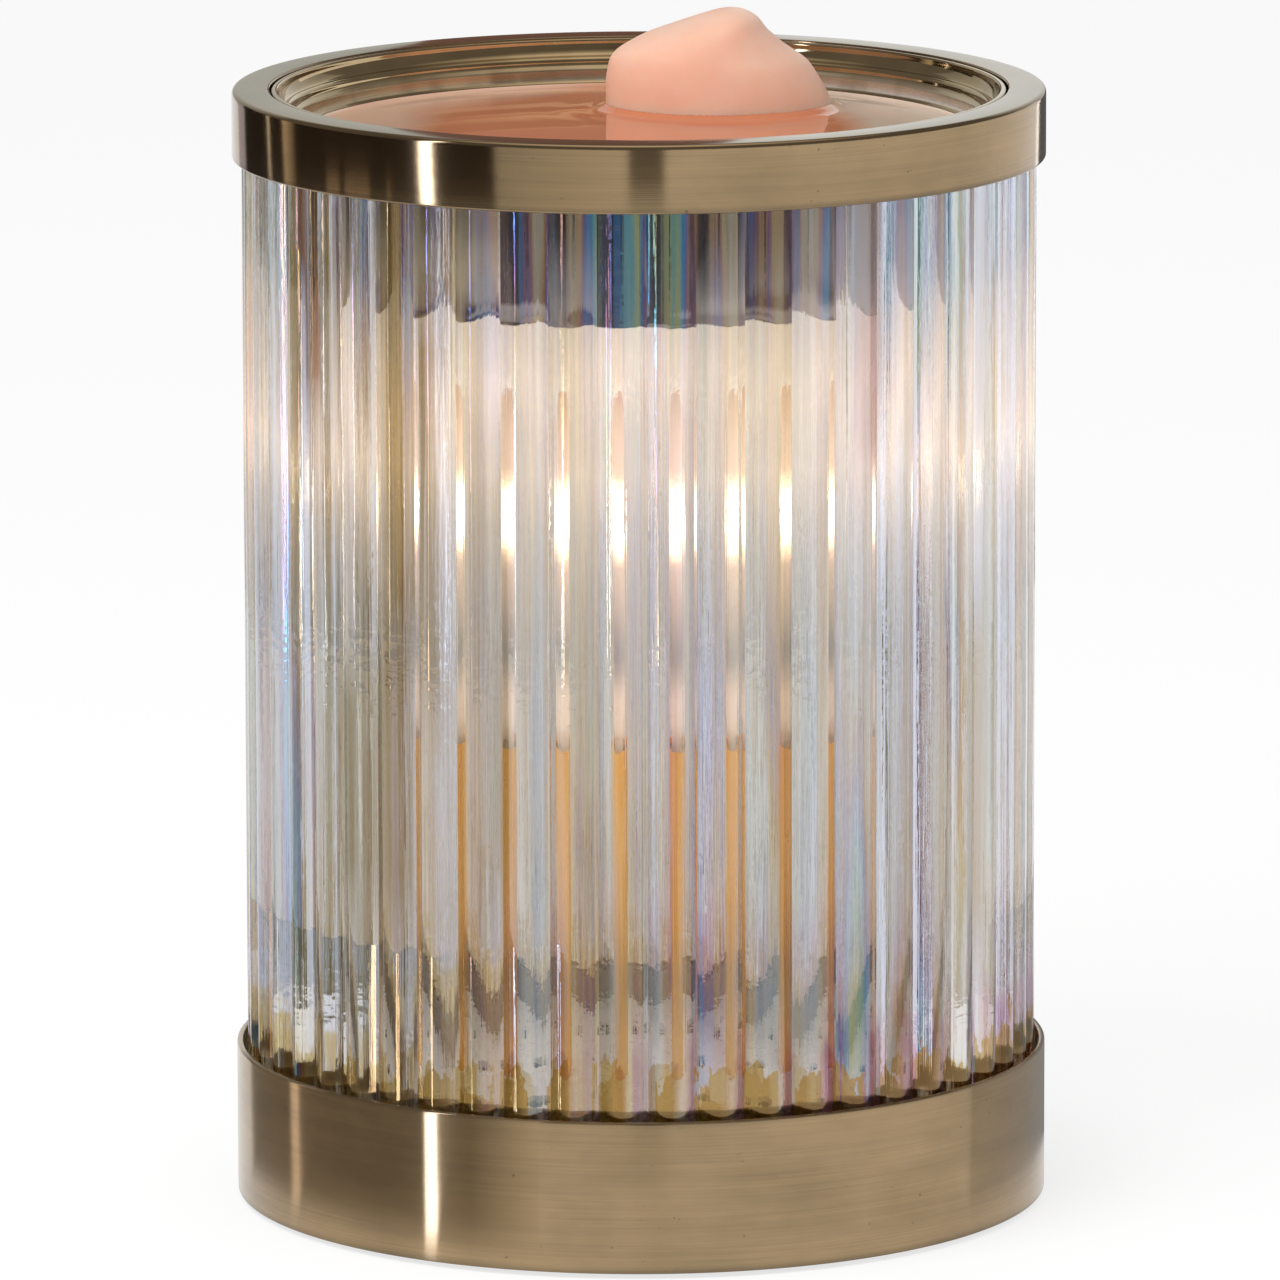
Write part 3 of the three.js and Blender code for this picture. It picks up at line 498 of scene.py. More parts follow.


# Glass: a thick cylinder of pressed clear glass, smooth inside and with fifty rounded ribs outside, under a
# vapour coat that gives it pale blue, violet and gold bands, with painted reflection in some streaks and at
# the feet of the ribs. Its bore carries a soft painted glow beside the bulb, which stands in for the bulb's
# light.
rib_count, rib_depth, rib_turn, rib_points = 50, 2.0, -89.0, 20
glass_radius, glass_bore, glass_low, glass_high = 62.1, 57.0, 20.8, 170.4
glass_rows, glass_ease = 40, 0.5
crest_gap, valley_round, slow_wander, quick_wander = 0.04, 0.05, 0.02, 0.015


def rib_radius(turn, height):
    """Outer radius in mm: each rib is an arch of a cosine, its valley rounded by a small amount under the
    root, and the crests wander by hundredths of a millimetre as they do on pressed glass."""
    across = np.cos(rib_count / 2 * (turn - np.radians(rib_turn)) + np.pi / 2)
    arch = np.sqrt(across**2 + valley_round**2)
    wander = slow_wander * np.sin(3 * turn + height / 11) + quick_wander * np.sin(7 * turn - height / 5.3)
    return glass_radius - crest_gap - rib_depth * (1 - arch) + wander * arch


turn = np.linspace(0, 2 * np.pi, rib_count * rib_points, endpoint=False)[None, :]
wall_heights = np.linspace(glass_low + glass_ease, glass_high - glass_ease, glass_rows)[:, None]
eased_part = glass_ease * 0.3
eased = np.array([glass_low, glass_low + eased_part])[:, None]
heights = np.concatenate([eased, wall_heights, (glass_low + glass_high) - eased[::-1]])
setback = np.array([glass_ease, eased_part] + [0] * glass_rows + [eased_part, glass_ease])[:, None]
outer = rib_radius(turn, heights) - setback
inner = glass_bore + setback + 0 * turn
radius = np.concatenate([outer, inner]) * mm
height = np.concatenate([heights, heights[::-1]]) * mm + 0 * turn
points = np.stack([radius * np.cos(turn), radius * np.sin(turn), height], axis=-1)
shade = solid("ribbed_glass", points, grid_faces(len(radius), turn.size, wrap_rows=True), smooth_below=50)


def stirred(tree, value, pattern, amount):
    """A value moved up and down by a noise whose middle is a half."""
    return sums(tree, "MULTIPLY_ADD", sums(tree, "SUBTRACT", pattern, 0.5), amount, value)


def towards(tree, value, goal, share):
    """A value taken towards a goal by a share of the way."""
    return sums(tree, "MULTIPLY_ADD", sums(tree, "SUBTRACT", goal, value), share, value)


# The coat's thickness in nanometres: it grows upwards, wanders with two grains, and is held thin on the left.
# Angles go round the glass from the front towards +X.
low_film, high_film, left_film, gold_film, least_film = 112.0, 152.0, 108.0, 112.0, 40.0
broad_swing, fine_swing = 480.0, 260.0
left_rise, left_fall = (math.radians(-56), math.radians(-49)), (math.radians(-27), math.radians(-12))
coated_glass, tree, shader = material("coated_glass")
broad_band = grain(tree, 75, 5, detail=1.5)
long_streak = grain(tree, 420, 9, detail=2.5)
to_right, to_back, height = place_parts(tree)
outside = spread(tree, from_axis(tree), (glass_bore + 0.2) * mm, (glass_bore + 0.6) * mm, 0.0, 1.0)
coat = spread(tree, height, 115 * mm, 145 * mm, low_film, high_film)
coat = stirred(tree, coat, broad_band, broad_swing)
coat = stirred(tree, coat, long_streak, fine_swing)
facing = sums(tree, "ARCTAN2", to_right, sums(tree, "MULTIPLY", to_back, -1.0))
facing = stirred(tree, facing, long_streak, 0.10)
rising = spread(tree, facing, *left_rise, 0.0, 1.0)
falling = spread(tree, facing, *left_fall, 1.0, 0.0)
middle_left = sums(tree, "MULTIPLY", rising, falling)
low_left = sums(tree, "MULTIPLY", middle_left, spread(tree, height, 120 * mm, 150 * mm, 0.85, 0.3))
coat = towards(tree, coat, left_film, low_left)
coat = sums(tree, "MAXIMUM", coat, least_film)

# Tints of the glass: olive bands that gather on the left, and violet bands elsewhere.
clear_tint, olive_tint, violet_tint = (0.84, 0.845, 0.86, 1), (0.52, 0.46, 0.24, 1), (0.66, 0.66, 0.82, 1)
# The magenta and gold tints are painted reflection of the brass band at the feet of the ribs
line_tint, reflected_magenta_tint, reflected_gold_tint = (0.44, 0.41, 0.42, 1), (0.42, 0.17, 0.34, 1), (0.40, 0.25, 0.04, 1)
olive_share = spread(tree, grain(tree, 97, 3, detail=2.0), 0.50, 0.60, 0.0, 0.9)
olive_share = sums(tree, "MULTIPLY", olive_share, sums(tree, "MULTIPLY_ADD", middle_left, 0.5, 0.5))
violet_share = spread(tree, grain(tree, 131, 3, detail=2.0), 0.53, 0.64, 0.0, 0.7)
violet_share = sums(tree, "MULTIPLY", violet_share, sums(tree, "MULTIPLY_ADD", middle_left, -0.9, 1.0))
tint = mixed(tree, olive_share, clear_tint, olive_tint)
tint = mixed(tree, violet_share, tint, violet_tint)

# Single painted streaks on the coat, painted reflection: their tints stand in for images of the surroundings
# seen in the glass. Angle and reach to each side in degrees, lowest and highest place in mm, how strong it
# is, and its tint. The film in a streak is gold.
painted_reflection_streaks = [
    (-56.5, 2.2, 128, 175, 1.0, (0.12, 0.035, 0.012)),
    (-47.5, 2.4, 54, 94, 0.95, (0.12, 0.13, 0.07)),
    (-37.3, 2.6, 96, 175, 0.95, (0.20, 0.13, 0.025)),
    (-33.0, 1.2, 84, 150, 0.90, (0.22, 0.16, 0.05)),
    (-40.5, 2.0, 52, 100, 1.0, (0.10, 0.085, 0.022)),
    (-70.0, 5.0, 60, 160, 0.60, (0.80, 0.88, 1.0)),
    (-21.0, 2.2, 60, 130, 0.60, (0.42, 0.42, 0.24)),
    (36.0, 1.8, 120, 175, 0.80, (0.34, 0.18, 0.26)),
    (43.0, 7.0, 40, 130, 0.60, (0.70, 0.80, 0.98)),
    (59.0, 2.5, 45, 100, 0.80, (0.42, 0.32, 0.14)),
]
streak_fade = 8
for turned_to, reach, low, high, most, colour in painted_reflection_streaks:
    beside = sums(tree, "ABSOLUTE", sums(tree, "SUBTRACT", facing, math.radians(turned_to)))
    share = spread(tree, beside, math.radians(reach * 0.5), math.radians(reach), most, 0.0)
    rising = spread(tree, height, (low - streak_fade) * mm, (low + streak_fade) * mm, 0.0, 1.0)
    falling = spread(tree, height, (high - streak_fade) * mm, (high + streak_fade) * mm, 1.0, 0.0)
    share = sums(tree, "MULTIPLY", sums(tree, "MULTIPLY", share, rising), falling)
    # Painted reflection: the streak's tint stands in for an image of the surroundings in the glass
    tint = mixed(tree, share, tint, (*colour, 1))
    coat = towards(tree, coat, gold_film, share)
fine_line = spread(tree, grain(tree, 800, 5, detail=2.0), 0.52, 0.62, 0.0, 0.4)
tint = mixed(tree, fine_line, tint, line_tint)

# Feet of the ribs, painted reflection of the brass band: one half of each is painted gold below a jagged
# edge, and the other has a magenta side.
rib_shift = -(90 + rib_turn) * rib_count / 360
across_rib = sums(tree, "FRACT", sums(tree, "MULTIPLY_ADD", facing, rib_count / (2 * math.pi), rib_shift))
jagged = sums(tree, "MULTIPLY_ADD", grain(tree, 240, 90, detail=4.0), -30 * mm, height)
gold_reflection_share = spread(tree, jagged, 15.5 * mm, 15.9 * mm, 0.95, 0.0)
gold_reflection_share = sums(tree, "MULTIPLY", gold_reflection_share, spread(tree, across_rib, 0.5, 0.6, 1.0, 0.1))
magenta_reflection_low = spread(tree, jagged, 19 * mm, 24 * mm, 1.0, 0.0)
magenta_reflection_side = sums(tree, "MULTIPLY", magenta_reflection_low, spread(tree, to_right, -20 * mm, 30 * mm, 0.25, 1.0))
magenta_reflection_side = sums(tree, "MULTIPLY", magenta_reflection_side, spread(tree, across_rib, 0.66, 0.76, 0.0, 0.9))
tint = mixed(tree, magenta_reflection_side, tint, reflected_magenta_tint)
coat = towards(tree, coat, gold_film, gold_reflection_share)

# Painted light on the bore beside the bulb, a glow that stands in for the bulb's light caught in the glass,
# and the drawn lines and seeds that raise the surface.
glow_middle, glow_reach, glow_strength = 124, 30, 0.3
from_glow = sums(tree, "ABSOLUTE", sums(tree, "SUBTRACT", height, glow_middle * mm))
painted_glow_band = sums(tree, "POWER", spread(tree, from_glow, 0.0, glow_reach * mm, 1.0, 0.0), 1.5)
on_bore = sums(tree, "SUBTRACT", 1.0, outside)
painted_glow_streak = spread(tree, long_streak, 0.3, 0.7, 0.5, 1.5)
painted_glow = sums(tree, "MULTIPLY", sums(tree, "MULTIPLY", painted_glow_band, on_bore), painted_glow_streak)
line_part, seed_part = 0.75, 0.25
drawn_line = sums(tree, "MULTIPLY", grain(tree, 900, 7), line_part)
rise = sums(tree, "ADD", drawn_line, sums(tree, "MULTIPLY", noise(tree, 520.0), seed_part))
fill(tree, shader, {
    # The gold at the feet of the ribs is painted reflection
    "Base Color": mixed(tree, gold_reflection_share, tint, reflected_gold_tint),
    "Transmission Weight": 1.0,
    "Roughness": 0.0,
    "IOR": 1.5,
    "Thin Film Thickness": sums(tree, "MULTIPLY", coat, outside),
    "Thin Film IOR": 1.9,
    # Painted light: an orange emission on the bore that stands in for the bulb's light caught in the glass
    "Emission Color": (1.0, 0.70, 0.47, 1),
    "Emission Strength": sums(tree, "MULTIPLY", painted_glow, glow_strength),
    "Normal": bumped(tree, rise, 0.28, 0.0004),
})
shade.data.materials.append(coated_glass)
shade.visible_shadow = False
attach(shade, "base")
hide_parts("glass_shade")


# Upper ring of silicone: a flat strip between the glass and the ledge of the brass ring.
upper_outer, upper_high = 60.0, 171.6
upper_outline = [
    (glass_bore, glass_high), (upper_outer, glass_high), (upper_outer, upper_high), (glass_bore, upper_high),
]
upper_seal = turned("upper_seal", corner_arcs(upper_outline, 0.3))
upper_seal.data.materials.append(silicone)
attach(upper_seal, "base")
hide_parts("upper_gasket")


# Top ring: one pressed brass sheet with a rounded shoulder, a skirt over the glass and an inner ledge for the
# dish. It is brushed and toned as the band is, with painted shade at its lower edge over the glass; the
# painted shade of the upper edge is set above its top, so that edge gets none.
skirt_inner, skirt_outer, skirt_low = 62.5, 63.5, 165.2
ring_high, ring_under, bright_above = 175.8, 174.8, 0.8
lip_inner, lip_outer, ledge_inner, ledge_low, ledge_high = 57.6, 58.6, 56.8, 171.6, 172.6
ring_outline = [
    (skirt_inner, skirt_low), (skirt_outer, skirt_low), (skirt_outer, ring_high), (lip_inner, ring_high),
    (lip_inner, ledge_high), (ledge_inner, ledge_high), (ledge_inner, ledge_low), (lip_outer, ledge_low),
    (lip_outer, ring_under), (skirt_inner, ring_under),
]
ring_rounding = [0.3, 0.35, 0.9, 0.35, 0.2, 0.25, 0.25, 0.2, 0.4, 0.8]
top_ring = turned("brass_ring", corner_arcs(ring_outline, ring_rounding, steps=6), sides=256, smooth_below=60)
# bright_above lifts the painted shade of the upper edge off the ring
ring_brass = brushed("brushed_brass_ring", brass, brass_tone_and_shade, 0.12, 0.8, skirt_low, ring_high + bright_above)
top_ring.data.materials.append(ring_brass)
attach(top_ring, "base")
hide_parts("top_ring")


# Dish: spun from bronzed sheet, polished inside, and dull outside, with painted shade and painted reflection
# on it. Four rolled beads step down from its rim to the wax, and its flange rests on the ring's ledge, so
# that it lifts out for cleaning.
flange_outer, flange_inner, flange_low, flange_foot, dish_high = 57.3, 56.5, 172.9, 171.9, 175.6
bowl_inner, bowl_high, bowl_outer, wall_high = 52.7, 168.9, 53.7, 167.4
floor_low, floor_high = 144.8, 145.8
beads = [
    (56.35, dish_high), (56.2, 174.3), (55.5, 173.1), (54.75, 172.86), (54.4, 172.5),
    (54.25, 171.7), (53.95, 171.38), (53.55, 171.0), (53.4, 169.7), (53.1, 169.3),
]
dish_outline = [
    (flange_outer, flange_low), (flange_outer, dish_high), *beads, (bowl_inner, bowl_high),
    (bowl_inner, floor_high), (0, floor_high), (0, floor_low), (bowl_outer, floor_low),
    (bowl_outer, wall_high), (flange_inner, flange_foot), (flange_inner, flange_low),
]
dish_rounding = [
    0.2, 0.4, 0.4, 0.7, 0.6, 0.3, 0.35, 0.4, 0.25, 0.3,
    0.4, 0.25, 0.3, 11, 0, 0, 12, 1.2, 0.3, 0.2,
]
dish = turned("wax_dish", corner_arcs(dish_outline, dish_rounding, steps=8), sides=256, smooth_below=60)

# The outside begins in the middle of the wall. Below 165 mm the wax covers the inside, so all counts as
# outside there.
polished_bronze, tree, shader = material("polished_bronze")
spin = grain(tree, 20, 2600)
cloud = grain(tree, 60, 60)
to_right, _, height = place_parts(tree)
beyond_wall = spread(tree, from_axis(tree), (bowl_inner + 0.3) * mm, (bowl_inner + 0.5) * mm, 0.0, 1.0)
wall_outside = sums(tree, "MULTIPLY", beyond_wall, spread(tree, height, 167 * mm, 172 * mm, 1.0, 0.0))
outside = sums(tree, "MAXIMUM", wall_outside, spread(tree, height, 165 * mm, 166 * mm, 1.0, 0.0))
spun, clouded = spread(tree, spin, 0.3, 0.7, 0.0, 0.12), spread(tree, cloud, 0.35, 0.7, 0.0, 0.6)
bronze_share = sums(tree, "ADD", spun, clouded)
bronze = mixed(tree, bronze_share, (0.58, 0.44, 0.25, 1), (0.32, 0.22, 0.12, 1))


def frayed(tree, value):
    """A place in metres moved by a long grain, so that what ends there ends in tongues."""
    return sums(tree, "MULTIPLY_ADD", grain(tree, 110, 14, detail=2.0), 0.09, value)


# Painted shade and reflection outside: the wall is painted dark, as shade seen through the glass, with narrow
# pale tongues, and fades to pale grey far right and to tan far left, as painted reflection.
painted_dark_shade, painted_grey_reflection, painted_tan_reflection = (0.06, 0.052, 0.08, 1), (0.78, 0.76, 0.80, 1), (0.70, 0.58, 0.40, 1)
painted_pale_tongue = spread(tree, grain(tree, 120, 5, detail=2.0), 0.55, 0.60, 0.0, 0.5)
painted_pale_tongue = sums(tree, "MULTIPLY", painted_pale_tongue, spread(tree, height, 150 * mm, 162 * mm, 1.0, 0.2))
reflection_fade_right = spread(tree, frayed(tree, to_right), 0.062, 0.078, 0.0, 1.0)
reflection_fade_left = spread(tree, frayed(tree, sums(tree, "MULTIPLY", to_right, -1.0)), 0.064, 0.078, 0.0, 0.9)
painted_outside_shade = mixed(tree, sums(tree, "MAXIMUM", reflection_fade_right, painted_pale_tongue), painted_dark_shade, painted_grey_reflection)
painted_outside_shade = mixed(tree, reflection_fade_left, painted_outside_shade, painted_tan_reflection)
fill(tree, shader, {
    # The outside takes the painted shade and painted reflection
    "Base Color": mixed(tree, outside, bronze, painted_outside_shade),
    "Metallic": sums(tree, "SUBTRACT", 1.0, outside),
    "Roughness": sums(tree, "MULTIPLY_ADD", outside, 0.5, spread(tree, spin, 0.3, 0.7, 0.05, 0.09)),
    "Specular IOR Level": 0.0,
})
dish.data.materials.append(polished_bronze)
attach(dish, "dish")
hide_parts("dish")


# Molten wax: a clear-edged salmon pool, whose left and right ends are painted paler as painted reflection,
# that fills the bowl to a hair below the lowest bead. It climbs the metal and the floating cube by a small
# meniscus, with faint ripples round the cube.
wax_level, pool_radius, bowl_bottom, bowl_round = 168.4, 52.4, 146.1, 11.0
cube_x, cube_y, cube_half_width, cube_half_length, cornered = 12.9, 27.2, 18.1, 14.4, 1.9
pool_rings, pool_sides, bend_rings, ring_crowding = 110, 320, 9, 1.25
rim_climb, rim_reach, cube_climb, cube_reach = 0.55, 0.7, 1.0, 1.1
ripple_height, ripple_length, ripple_reach = 0.16, 0.9, 2.6


def beside_cube(x, y):
    """Distance in mm outside the cube's foot, which is a diamond with bowed sides; below zero inside."""
    across, along = np.abs(x - cube_x) / cube_half_width, np.abs(y - cube_y) / cube_half_length
    return ((across**cornered + along**cornered) ** (1 / cornered) - 1) * cube_half_length


def wax_height(x, y):
    """Height of the pool: level, raised by exponentials near the rim and the cube, with a dying ripple."""
    rim_rise = rim_climb * np.exp((np.hypot(x, y) - pool_radius) / rim_reach)
    away = np.maximum(beside_cube(x, y), 0)
    lean = 0.6 + 0.4 * np.cos(np.arctan2(y - cube_y, x - cube_x) * 2)
    ripple = ripple_height * lean * np.sin(away / ripple_length) * np.exp(-away / ripple_reach)
    cube_rise = cube_climb * np.exp(-away / cube_reach) - ripple
    return wax_level + rim_rise + cube_rise


turn = np.linspace(0, 2 * np.pi, pool_sides, endpoint=False)[None, :]
share = np.linspace(0, 1, pool_rings)[:, None]
top_radius = pool_radius * (1 - (1 - share) ** ring_crowding)
x, y = top_radius * np.cos(turn), top_radius * np.sin(turn)
top = np.stack([x, y, wax_height(x, y)], axis=-1)
bend = np.radians(np.linspace(0, 90, bend_rings))[:, None]
wall_radius = pool_radius - bowl_round * (1 - np.cos(bend))
wall_height = bowl_bottom + bowl_round * (1 - np.sin(bend))
wall = np.stack([wall_radius * np.cos(turn), wall_radius * np.sin(turn), wall_height + 0 * turn], axis=-1)
middle = np.stack([0 * turn, 0 * turn, bowl_bottom + 0 * turn], axis=-1)
points = np.concatenate([top, wall, middle]) * mm
pool = solid("molten_wax", points, grid_faces(len(points), pool_sides))

# The painted pale ends, painted reflection, start where an ellipse round the middle, made uneven by a swirl,
# is passed.
salmon, deep_salmon = (0.61, 0.215, 0.105, 1), (0.56, 0.195, 0.095, 1)
reflected_pale_left, reflected_pale_right = (0.72, 0.46, 0.33, 1), (0.72, 0.58, 0.46, 1)
salmon_pool, tree, shader = material("salmon_pool")
to_right, to_back, _ = place_parts(tree)
stretched = sums(tree, "MULTIPLY", sums(tree, "ADD", to_right, 2 * mm), 1.25)
squared = sums(tree, "MULTIPLY", stretched, stretched)
squared = sums(tree, "ADD", squared, sums(tree, "POWER", sums(tree, "MULTIPLY", to_back, 0.8), 2.0))
outward = stirred(tree, sums(tree, "SQRT", squared), noise(tree, 26.0, 1.5), 22 * mm)
warm = mixed(tree, spread(tree, noise(tree, 26.0), 0.4, 0.65, 0.0, 1.0), salmon, deep_salmon)
painted_pale_ends = mixed(tree, spread(tree, to_right, -20 * mm, 20 * mm, 0.0, 1.0), reflected_pale_left, reflected_pale_right)
fill(tree, shader, {
    # Painted reflection: the pale ends stand in for what the pool reflects at its sides
    "Base Color": mixed(tree, spread(tree, outward, 38 * mm, 48 * mm, 0.0, 0.92), warm, painted_pale_ends),
    "Roughness": 0.03,
    "IOR": 1.44,
})
pool.data.materials.append(salmon_pool)
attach(pool, "dish")
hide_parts("wax_pool")


# Wax cube: a scented cube that stands cornerwise in the pool, half melted. Its left corner is still upright,
# its top leans up to a blunt peak right of the middle, and its right side has slumped.
cube_sink, cube_rows, cube_sides = 3.0, 72, 176
cube_peak, peak_place, cube_bluntness = 15.8, 14.3, 2.7
left_heights = [-cube_sink, 0.0, 5.1, 8.1, 9.5, 11.8, 14.1, 15.5, cube_peak]
left_places = [-4.9, -5.2, -5.2, -4.6, -3.5, 0.7, 7.6, 11.9, peak_place]
right_heights = [-cube_sink, 0.0, 3.5, 5.6, 7.8, 10.4, 12.6, 14.6, 15.6, cube_peak]
right_places = [31.2, 31.0, 29.4, 28.2, 26.7, 22.8, 20.3, 18.8, 17.0, peak_place]


def drawn_smooth(places, window=9):
    """A row of places averaged over a short window, its two ends held."""
    weight = np.hanning(window) / np.hanning(window).sum()
    smooth = np.convolve(np.pad(places, window // 2, mode="edge"), weight, mode="valid")
    smooth[0], smooth[-1] = places[0], places[-1]
    return smooth


climb = np.linspace(0, 1, cube_rows)
rise = -cube_sink + (cube_peak + cube_sink) * np.sin(climb * np.pi / 2)
left = drawn_smooth(np.interp(rise, left_heights, left_places))
right = drawn_smooth(np.interp(rise, right_heights, right_places))
risen_share = np.clip(rise / cube_peak, 0, 1)
shrink = np.clip(1 - risen_share**cube_bluntness, 0, 1) ** (1 / cube_bluntness)
middle_x, half_x, half_y = (left + right) / 2, (right - left) / 2, cube_half_length * shrink
turn = np.linspace(0, 2 * np.pi, cube_sides, endpoint=False)[None, :]
bend_x = np.sign(np.cos(turn)) * np.abs(np.cos(turn)) ** (2 / cornered)
bend_y = np.sign(np.sin(turn)) * np.abs(np.sin(turn)) ** (2 / cornered)
x = middle_x[:, None] + half_x[:, None] * bend_x
y = cube_y + half_y[:, None] * bend_y
z = rise[:, None] + 0 * turn
foot_middle = np.stack([middle_x[0] + 0 * turn, cube_y + 0 * turn, -cube_sink + 0 * turn], axis=-1)
points = np.concatenate([foot_middle, np.stack([x, y, z], axis=-1)]) + (0, 0, wax_level)
cube = solid("wax_cube_soft", points * mm, grid_faces(cube_rows + 1, cube_sides), smooth_below=180)
peach_wax, tree, shader = material("peach_wax")
peach, deep_peach = (0.92, 0.58, 0.44, 1), (0.88, 0.52, 0.38, 1)
cloud = noise(tree, 90.0, 3.0)
fill(tree, shader, {
    "Base Color": mixed(tree, spread(tree, cloud, 0.35, 0.65, 0.0, 1.0), peach, deep_peach),
    "Subsurface Weight": 0.7,
    "Subsurface Radius": (1.0, 0.42, 0.25),
    "Subsurface Scale": 0.004,
    "Roughness": spread(tree, cloud, 0.3, 0.7, 0.36, 0.5),
    "Specular IOR Level": 0.35,
    "Normal": bumped(tree, cloud, 0.25, 0.0004),
})
cube.data.materials.append(peach_wax)
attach(cube, "dish")
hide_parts("wax_cube")


# Lamp stem, nuts and washer: a threaded copper tube clamps the lamp to the deck between two hexagon nuts, and
# the leads run up inside it. A copper sleeve covers it up to the bulb, with a painted glow, stronger nearer
# the bulb, that stands in for the bulb's light on it.
satin_copper = plain("satin_copper", (0.82, 0.40, 0.16), (0.66, 0.28, 0.09), 0.3, metallic=1.0, scale=500.0)
dress(["lamp_stem"], satin_copper)
dress(["stem_nut_lower", "stem_nut_upper", "stem_washer"], bright_steel)
sleeve_inner, sleeve_outer, sleeve_low, sleeve_high = 8.9, 9.6, 19.6, 72.0
sleeve_outline = [
    (sleeve_inner, sleeve_low), (sleeve_outer, sleeve_low),
    (sleeve_outer, sleeve_high), (sleeve_inner, sleeve_high),
]
sleeve = turned("copper_sleeve", corner_arcs(sleeve_outline, 0.35), sides=96)
copper_with_painted_glow, tree, shader = material("copper_with_painted_glow")
orange_copper, deep_copper = (0.80, 0.37, 0.05, 1), (0.66, 0.27, 0.03, 1)
drawn = grain(tree, 300, 20)
height = place_parts(tree)[2]
fill(tree, shader, {
    "Base Color": mixed(tree, spread(tree, drawn, 0.3, 0.7, 0.0, 1.0), orange_copper, deep_copper),
    "Metallic": 1.0,
    "Roughness": spread(tree, drawn, 0.3, 0.7, 0.2, 0.3),
    # Painted light: an orange emission that stands in for the bulb's light on the sleeve
    "Emission Color": (1.0, 0.42, 0.09, 1),
    "Emission Strength": spread(tree, height, 20 * mm, sleeve_high * mm, 0.05, 0.3),
})
sleeve.data.materials.append(copper_with_painted_glow)
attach(sleeve, "base")
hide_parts("lamp_sleeve")


# Lampholder: a black moulded body on the stem's end, with an insulating plate, a sprung centre contact and a
# brass screw shell.
black, soft_black = (0.02, 0.02, 0.02), (0.03, 0.03, 0.031)
black_moulding = plain("black_moulding", black, soft_black, 0.35, scale=900.0, bump=0.15)
pale_moulding = plain("pale_moulding", (0.72, 0.69, 0.62), (0.66, 0.62, 0.55), 0.5, scale=700.0)
plain_brass = plain("plain_brass", (0.72, 0.52, 0.24), (0.62, 0.43, 0.18), 0.28, metallic=1.0, scale=800.0)
dress(["lampholder"], black_moulding)
dress(["contact_plate"], pale_moulding)
dress(["screw_shell", "centre_contact"], plain_brass)


# Bulb: a small tubular lamp with a threaded brass cap. Its envelope is frosted inside and glows white round
# the filament and amber towards the cap.
envelope_outside = [
    (4.5, 60.0), (4.5, 68.0), (6.2, 71.6), (8.0, 76.0), (8.0, 119.0), (7.6, 123.0),
    (5.9, 126.2), (3.0, 127.7), (0, 128.0),
]
envelope_inside = [
    (0, 127.4), (2.8, 127.1), (5.5, 125.7), (7.0, 122.8), (7.4, 119.0),
    (7.4, 76.2), (5.6, 71.8), (3.9, 68.2), (3.9, 60.0),
]
bulb_rounding = [0.2, 2, 2, 3, 4, 2, 2, 2, 0, 0, 2, 2, 2, 4, 3, 2, 2, 0.2]
bulb_outline = corner_arcs(envelope_outside + envelope_inside, bulb_rounding, steps=6)
bulb = turned("bulb_envelope", bulb_outline, sides=96, smooth_below=80)
hot_place, amber_place = 108.5, 78
lit_frost, tree, shader = material("lit_frost")
height = place_parts(tree)[2]
from_hot = sums(tree, "ABSOLUTE", sums(tree, "SUBTRACT", height, hot_place * mm))
hot = sums(tree, "POWER", spread(tree, from_hot, 2 * mm, 8.5 * mm, 1.0, 0.0), 2.2)
from_amber = sums(tree, "ABSOLUTE", sums(tree, "SUBTRACT", height, amber_place * mm))
amber_glow = spread(tree, from_amber, 2 * mm, 8 * mm, 0.5, 0.0)
low_glow = sums(tree, "ADD", amber_glow, spread(tree, height, 88 * mm, 104 * mm, 0.06, 0.75))
fill(tree, shader, {
    "Base Color": (0.60, 0.56, 0.52, 1),
    "Roughness": 0.35,
    "Emission Color": mixed(tree, hot, (1.0, 0.60, 0.36, 1), (1.0, 0.76, 0.55, 1)),
    "Emission Strength": sums(tree, "MULTIPLY_ADD", hot, 7.0, low_glow),
})
bulb.data.materials.append(lit_frost)
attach(bulb, "bulb")
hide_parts("bulb_glass")
dress(["bulb_cap"], plain_brass)
dress(["cap_insulator"], black_moulding)
dress(["cap_tip", "filament_post_1", "filament_post_2"], bright_steel)
stem_glass = plain("stem_glass", (0.9, 0.92, 0.93), (0.86, 0.88, 0.9), 0.1, Transmission_Weight=0.9)
dress(["bulb_mount"], stem_glass)
hot_wire, tree, shader = material("hot_wire")
beat = node(tree, "TexWave", {"Vector": object_place(tree), "Scale": 900.0}).outputs[1]
fill(tree, shader, {
    "Base Color": (0.4, 0.38, 0.35, 1),
    "Emission Color": (1.0, 0.8, 0.5, 1),
    "Emission Strength": spread(tree, beat, 0.0, 1.0, 6.0, 12.0),
})
dress(["filament"], hot_wire)


# Switch: a moulded housing clipped through the band's window, with a black rocker on two pins and two brass
# blades for the leads.
flat_angle, sharp_angle = math.radians(2), math.radians(30)


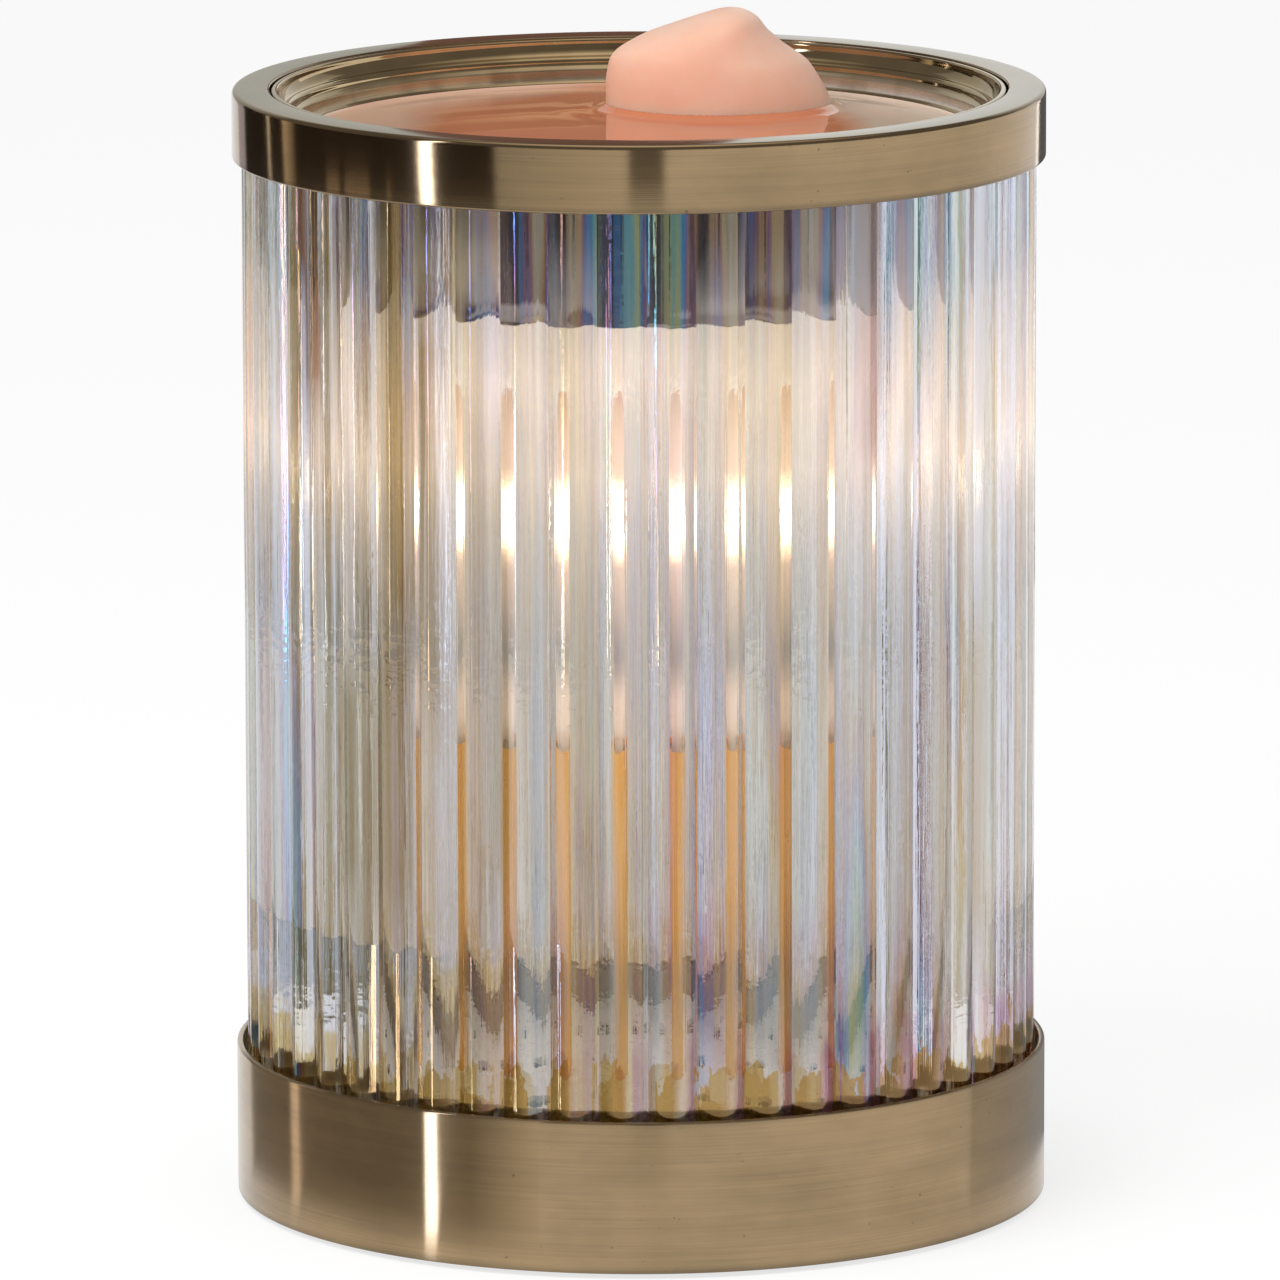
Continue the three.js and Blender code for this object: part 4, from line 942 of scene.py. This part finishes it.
def softened(name, new_name, edge):
    """A copy of a solid with its doubles merged and its edges rounded by a number of mm."""
    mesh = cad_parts[name].data.copy()
    work = bmesh.new()
    work.from_mesh(mesh)
    bmesh.ops.remove_doubles(work, verts=work.verts, dist=1e-6)
    bmesh.ops.dissolve_limit(work, angle_limit=flat_angle, verts=work.verts, edges=work.edges)
    work.to_mesh(mesh)
    work.free()
    mesh.materials.clear()
    mesh.shade_smooth()
    mesh.set_sharp_from_angle(angle=sharp_angle)
    made = bpy.data.objects.new(new_name, mesh)
    bpy.context.collection.objects.link(made)
    rounded = made.modifiers.new("edges", "BEVEL")
    rounded.width, rounded.segments, rounded.limit_method = edge * mm, 3, "ANGLE"
    rounded.angle_limit = sharp_angle
    return made


for cad_name, new_name, body, edge in (
    ("switch_housing", "switch_frame", "base", 0.3),
    ("switch_rocker", "switch_paddle", "rocker", 0.25),
):
    moulded = softened(cad_name, new_name, edge)
    moulded.data.materials.append(black_moulding)
    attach(moulded, body)
    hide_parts(cad_name)
dress(["switch_tab_1", "switch_tab_2"], plain_brass)


# Cord bush: a black moulded grommet snapped into the round hole at the back, with a rounded outer lip.
bush_bore, bush_neck, back_flange, lip_radius, lip_face = 3.4, 5.0, 6.5, 8.0, 6.5
bush_back, neck_back, neck_front, bush_front = 60.7, 61.94, 64.05, 65.65
bush_outline = [
    (bush_bore, bush_back), (back_flange, bush_back), (back_flange, neck_back), (bush_neck, neck_back),
    (bush_neck, neck_front), (lip_radius, neck_front), (lip_face, bush_front), (bush_bore, bush_front),
]
bush_rounding = [0.5, 0.3, 0.2, 0.1, 0.1, 0.3, 0.7, 0.7]
bush = turned("cord_grommet", corner_arcs(bush_outline, bush_rounding), sides=64)
bush.data.transform(Matrix.Translation((0, 0, bush_height * mm)) @ Matrix.Rotation(-math.pi / 2, 4, "X"))
bush.data.materials.append(black_moulding)
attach(bush, "base")
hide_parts("cord_bush")


# Terminal block and leads: a pale block with two steel screws on the base plate, and insulated wires from it
# by way of the switch to the lampholder.
dress(["terminal_block"], pale_moulding)
dress(["terminal_screw_1", "terminal_screw_2"], bright_steel)
black_lead = plain("black_lead", (0.02, 0.02, 0.02), (0.03, 0.03, 0.03), 0.4, scale=2000.0)
white_lead = plain("white_lead", (0.75, 0.74, 0.71), (0.68, 0.67, 0.63), 0.4, scale=2000.0)
dress(["lead_in", "lead_live"], black_lead)
dress(["lead_neutral"], white_lead)
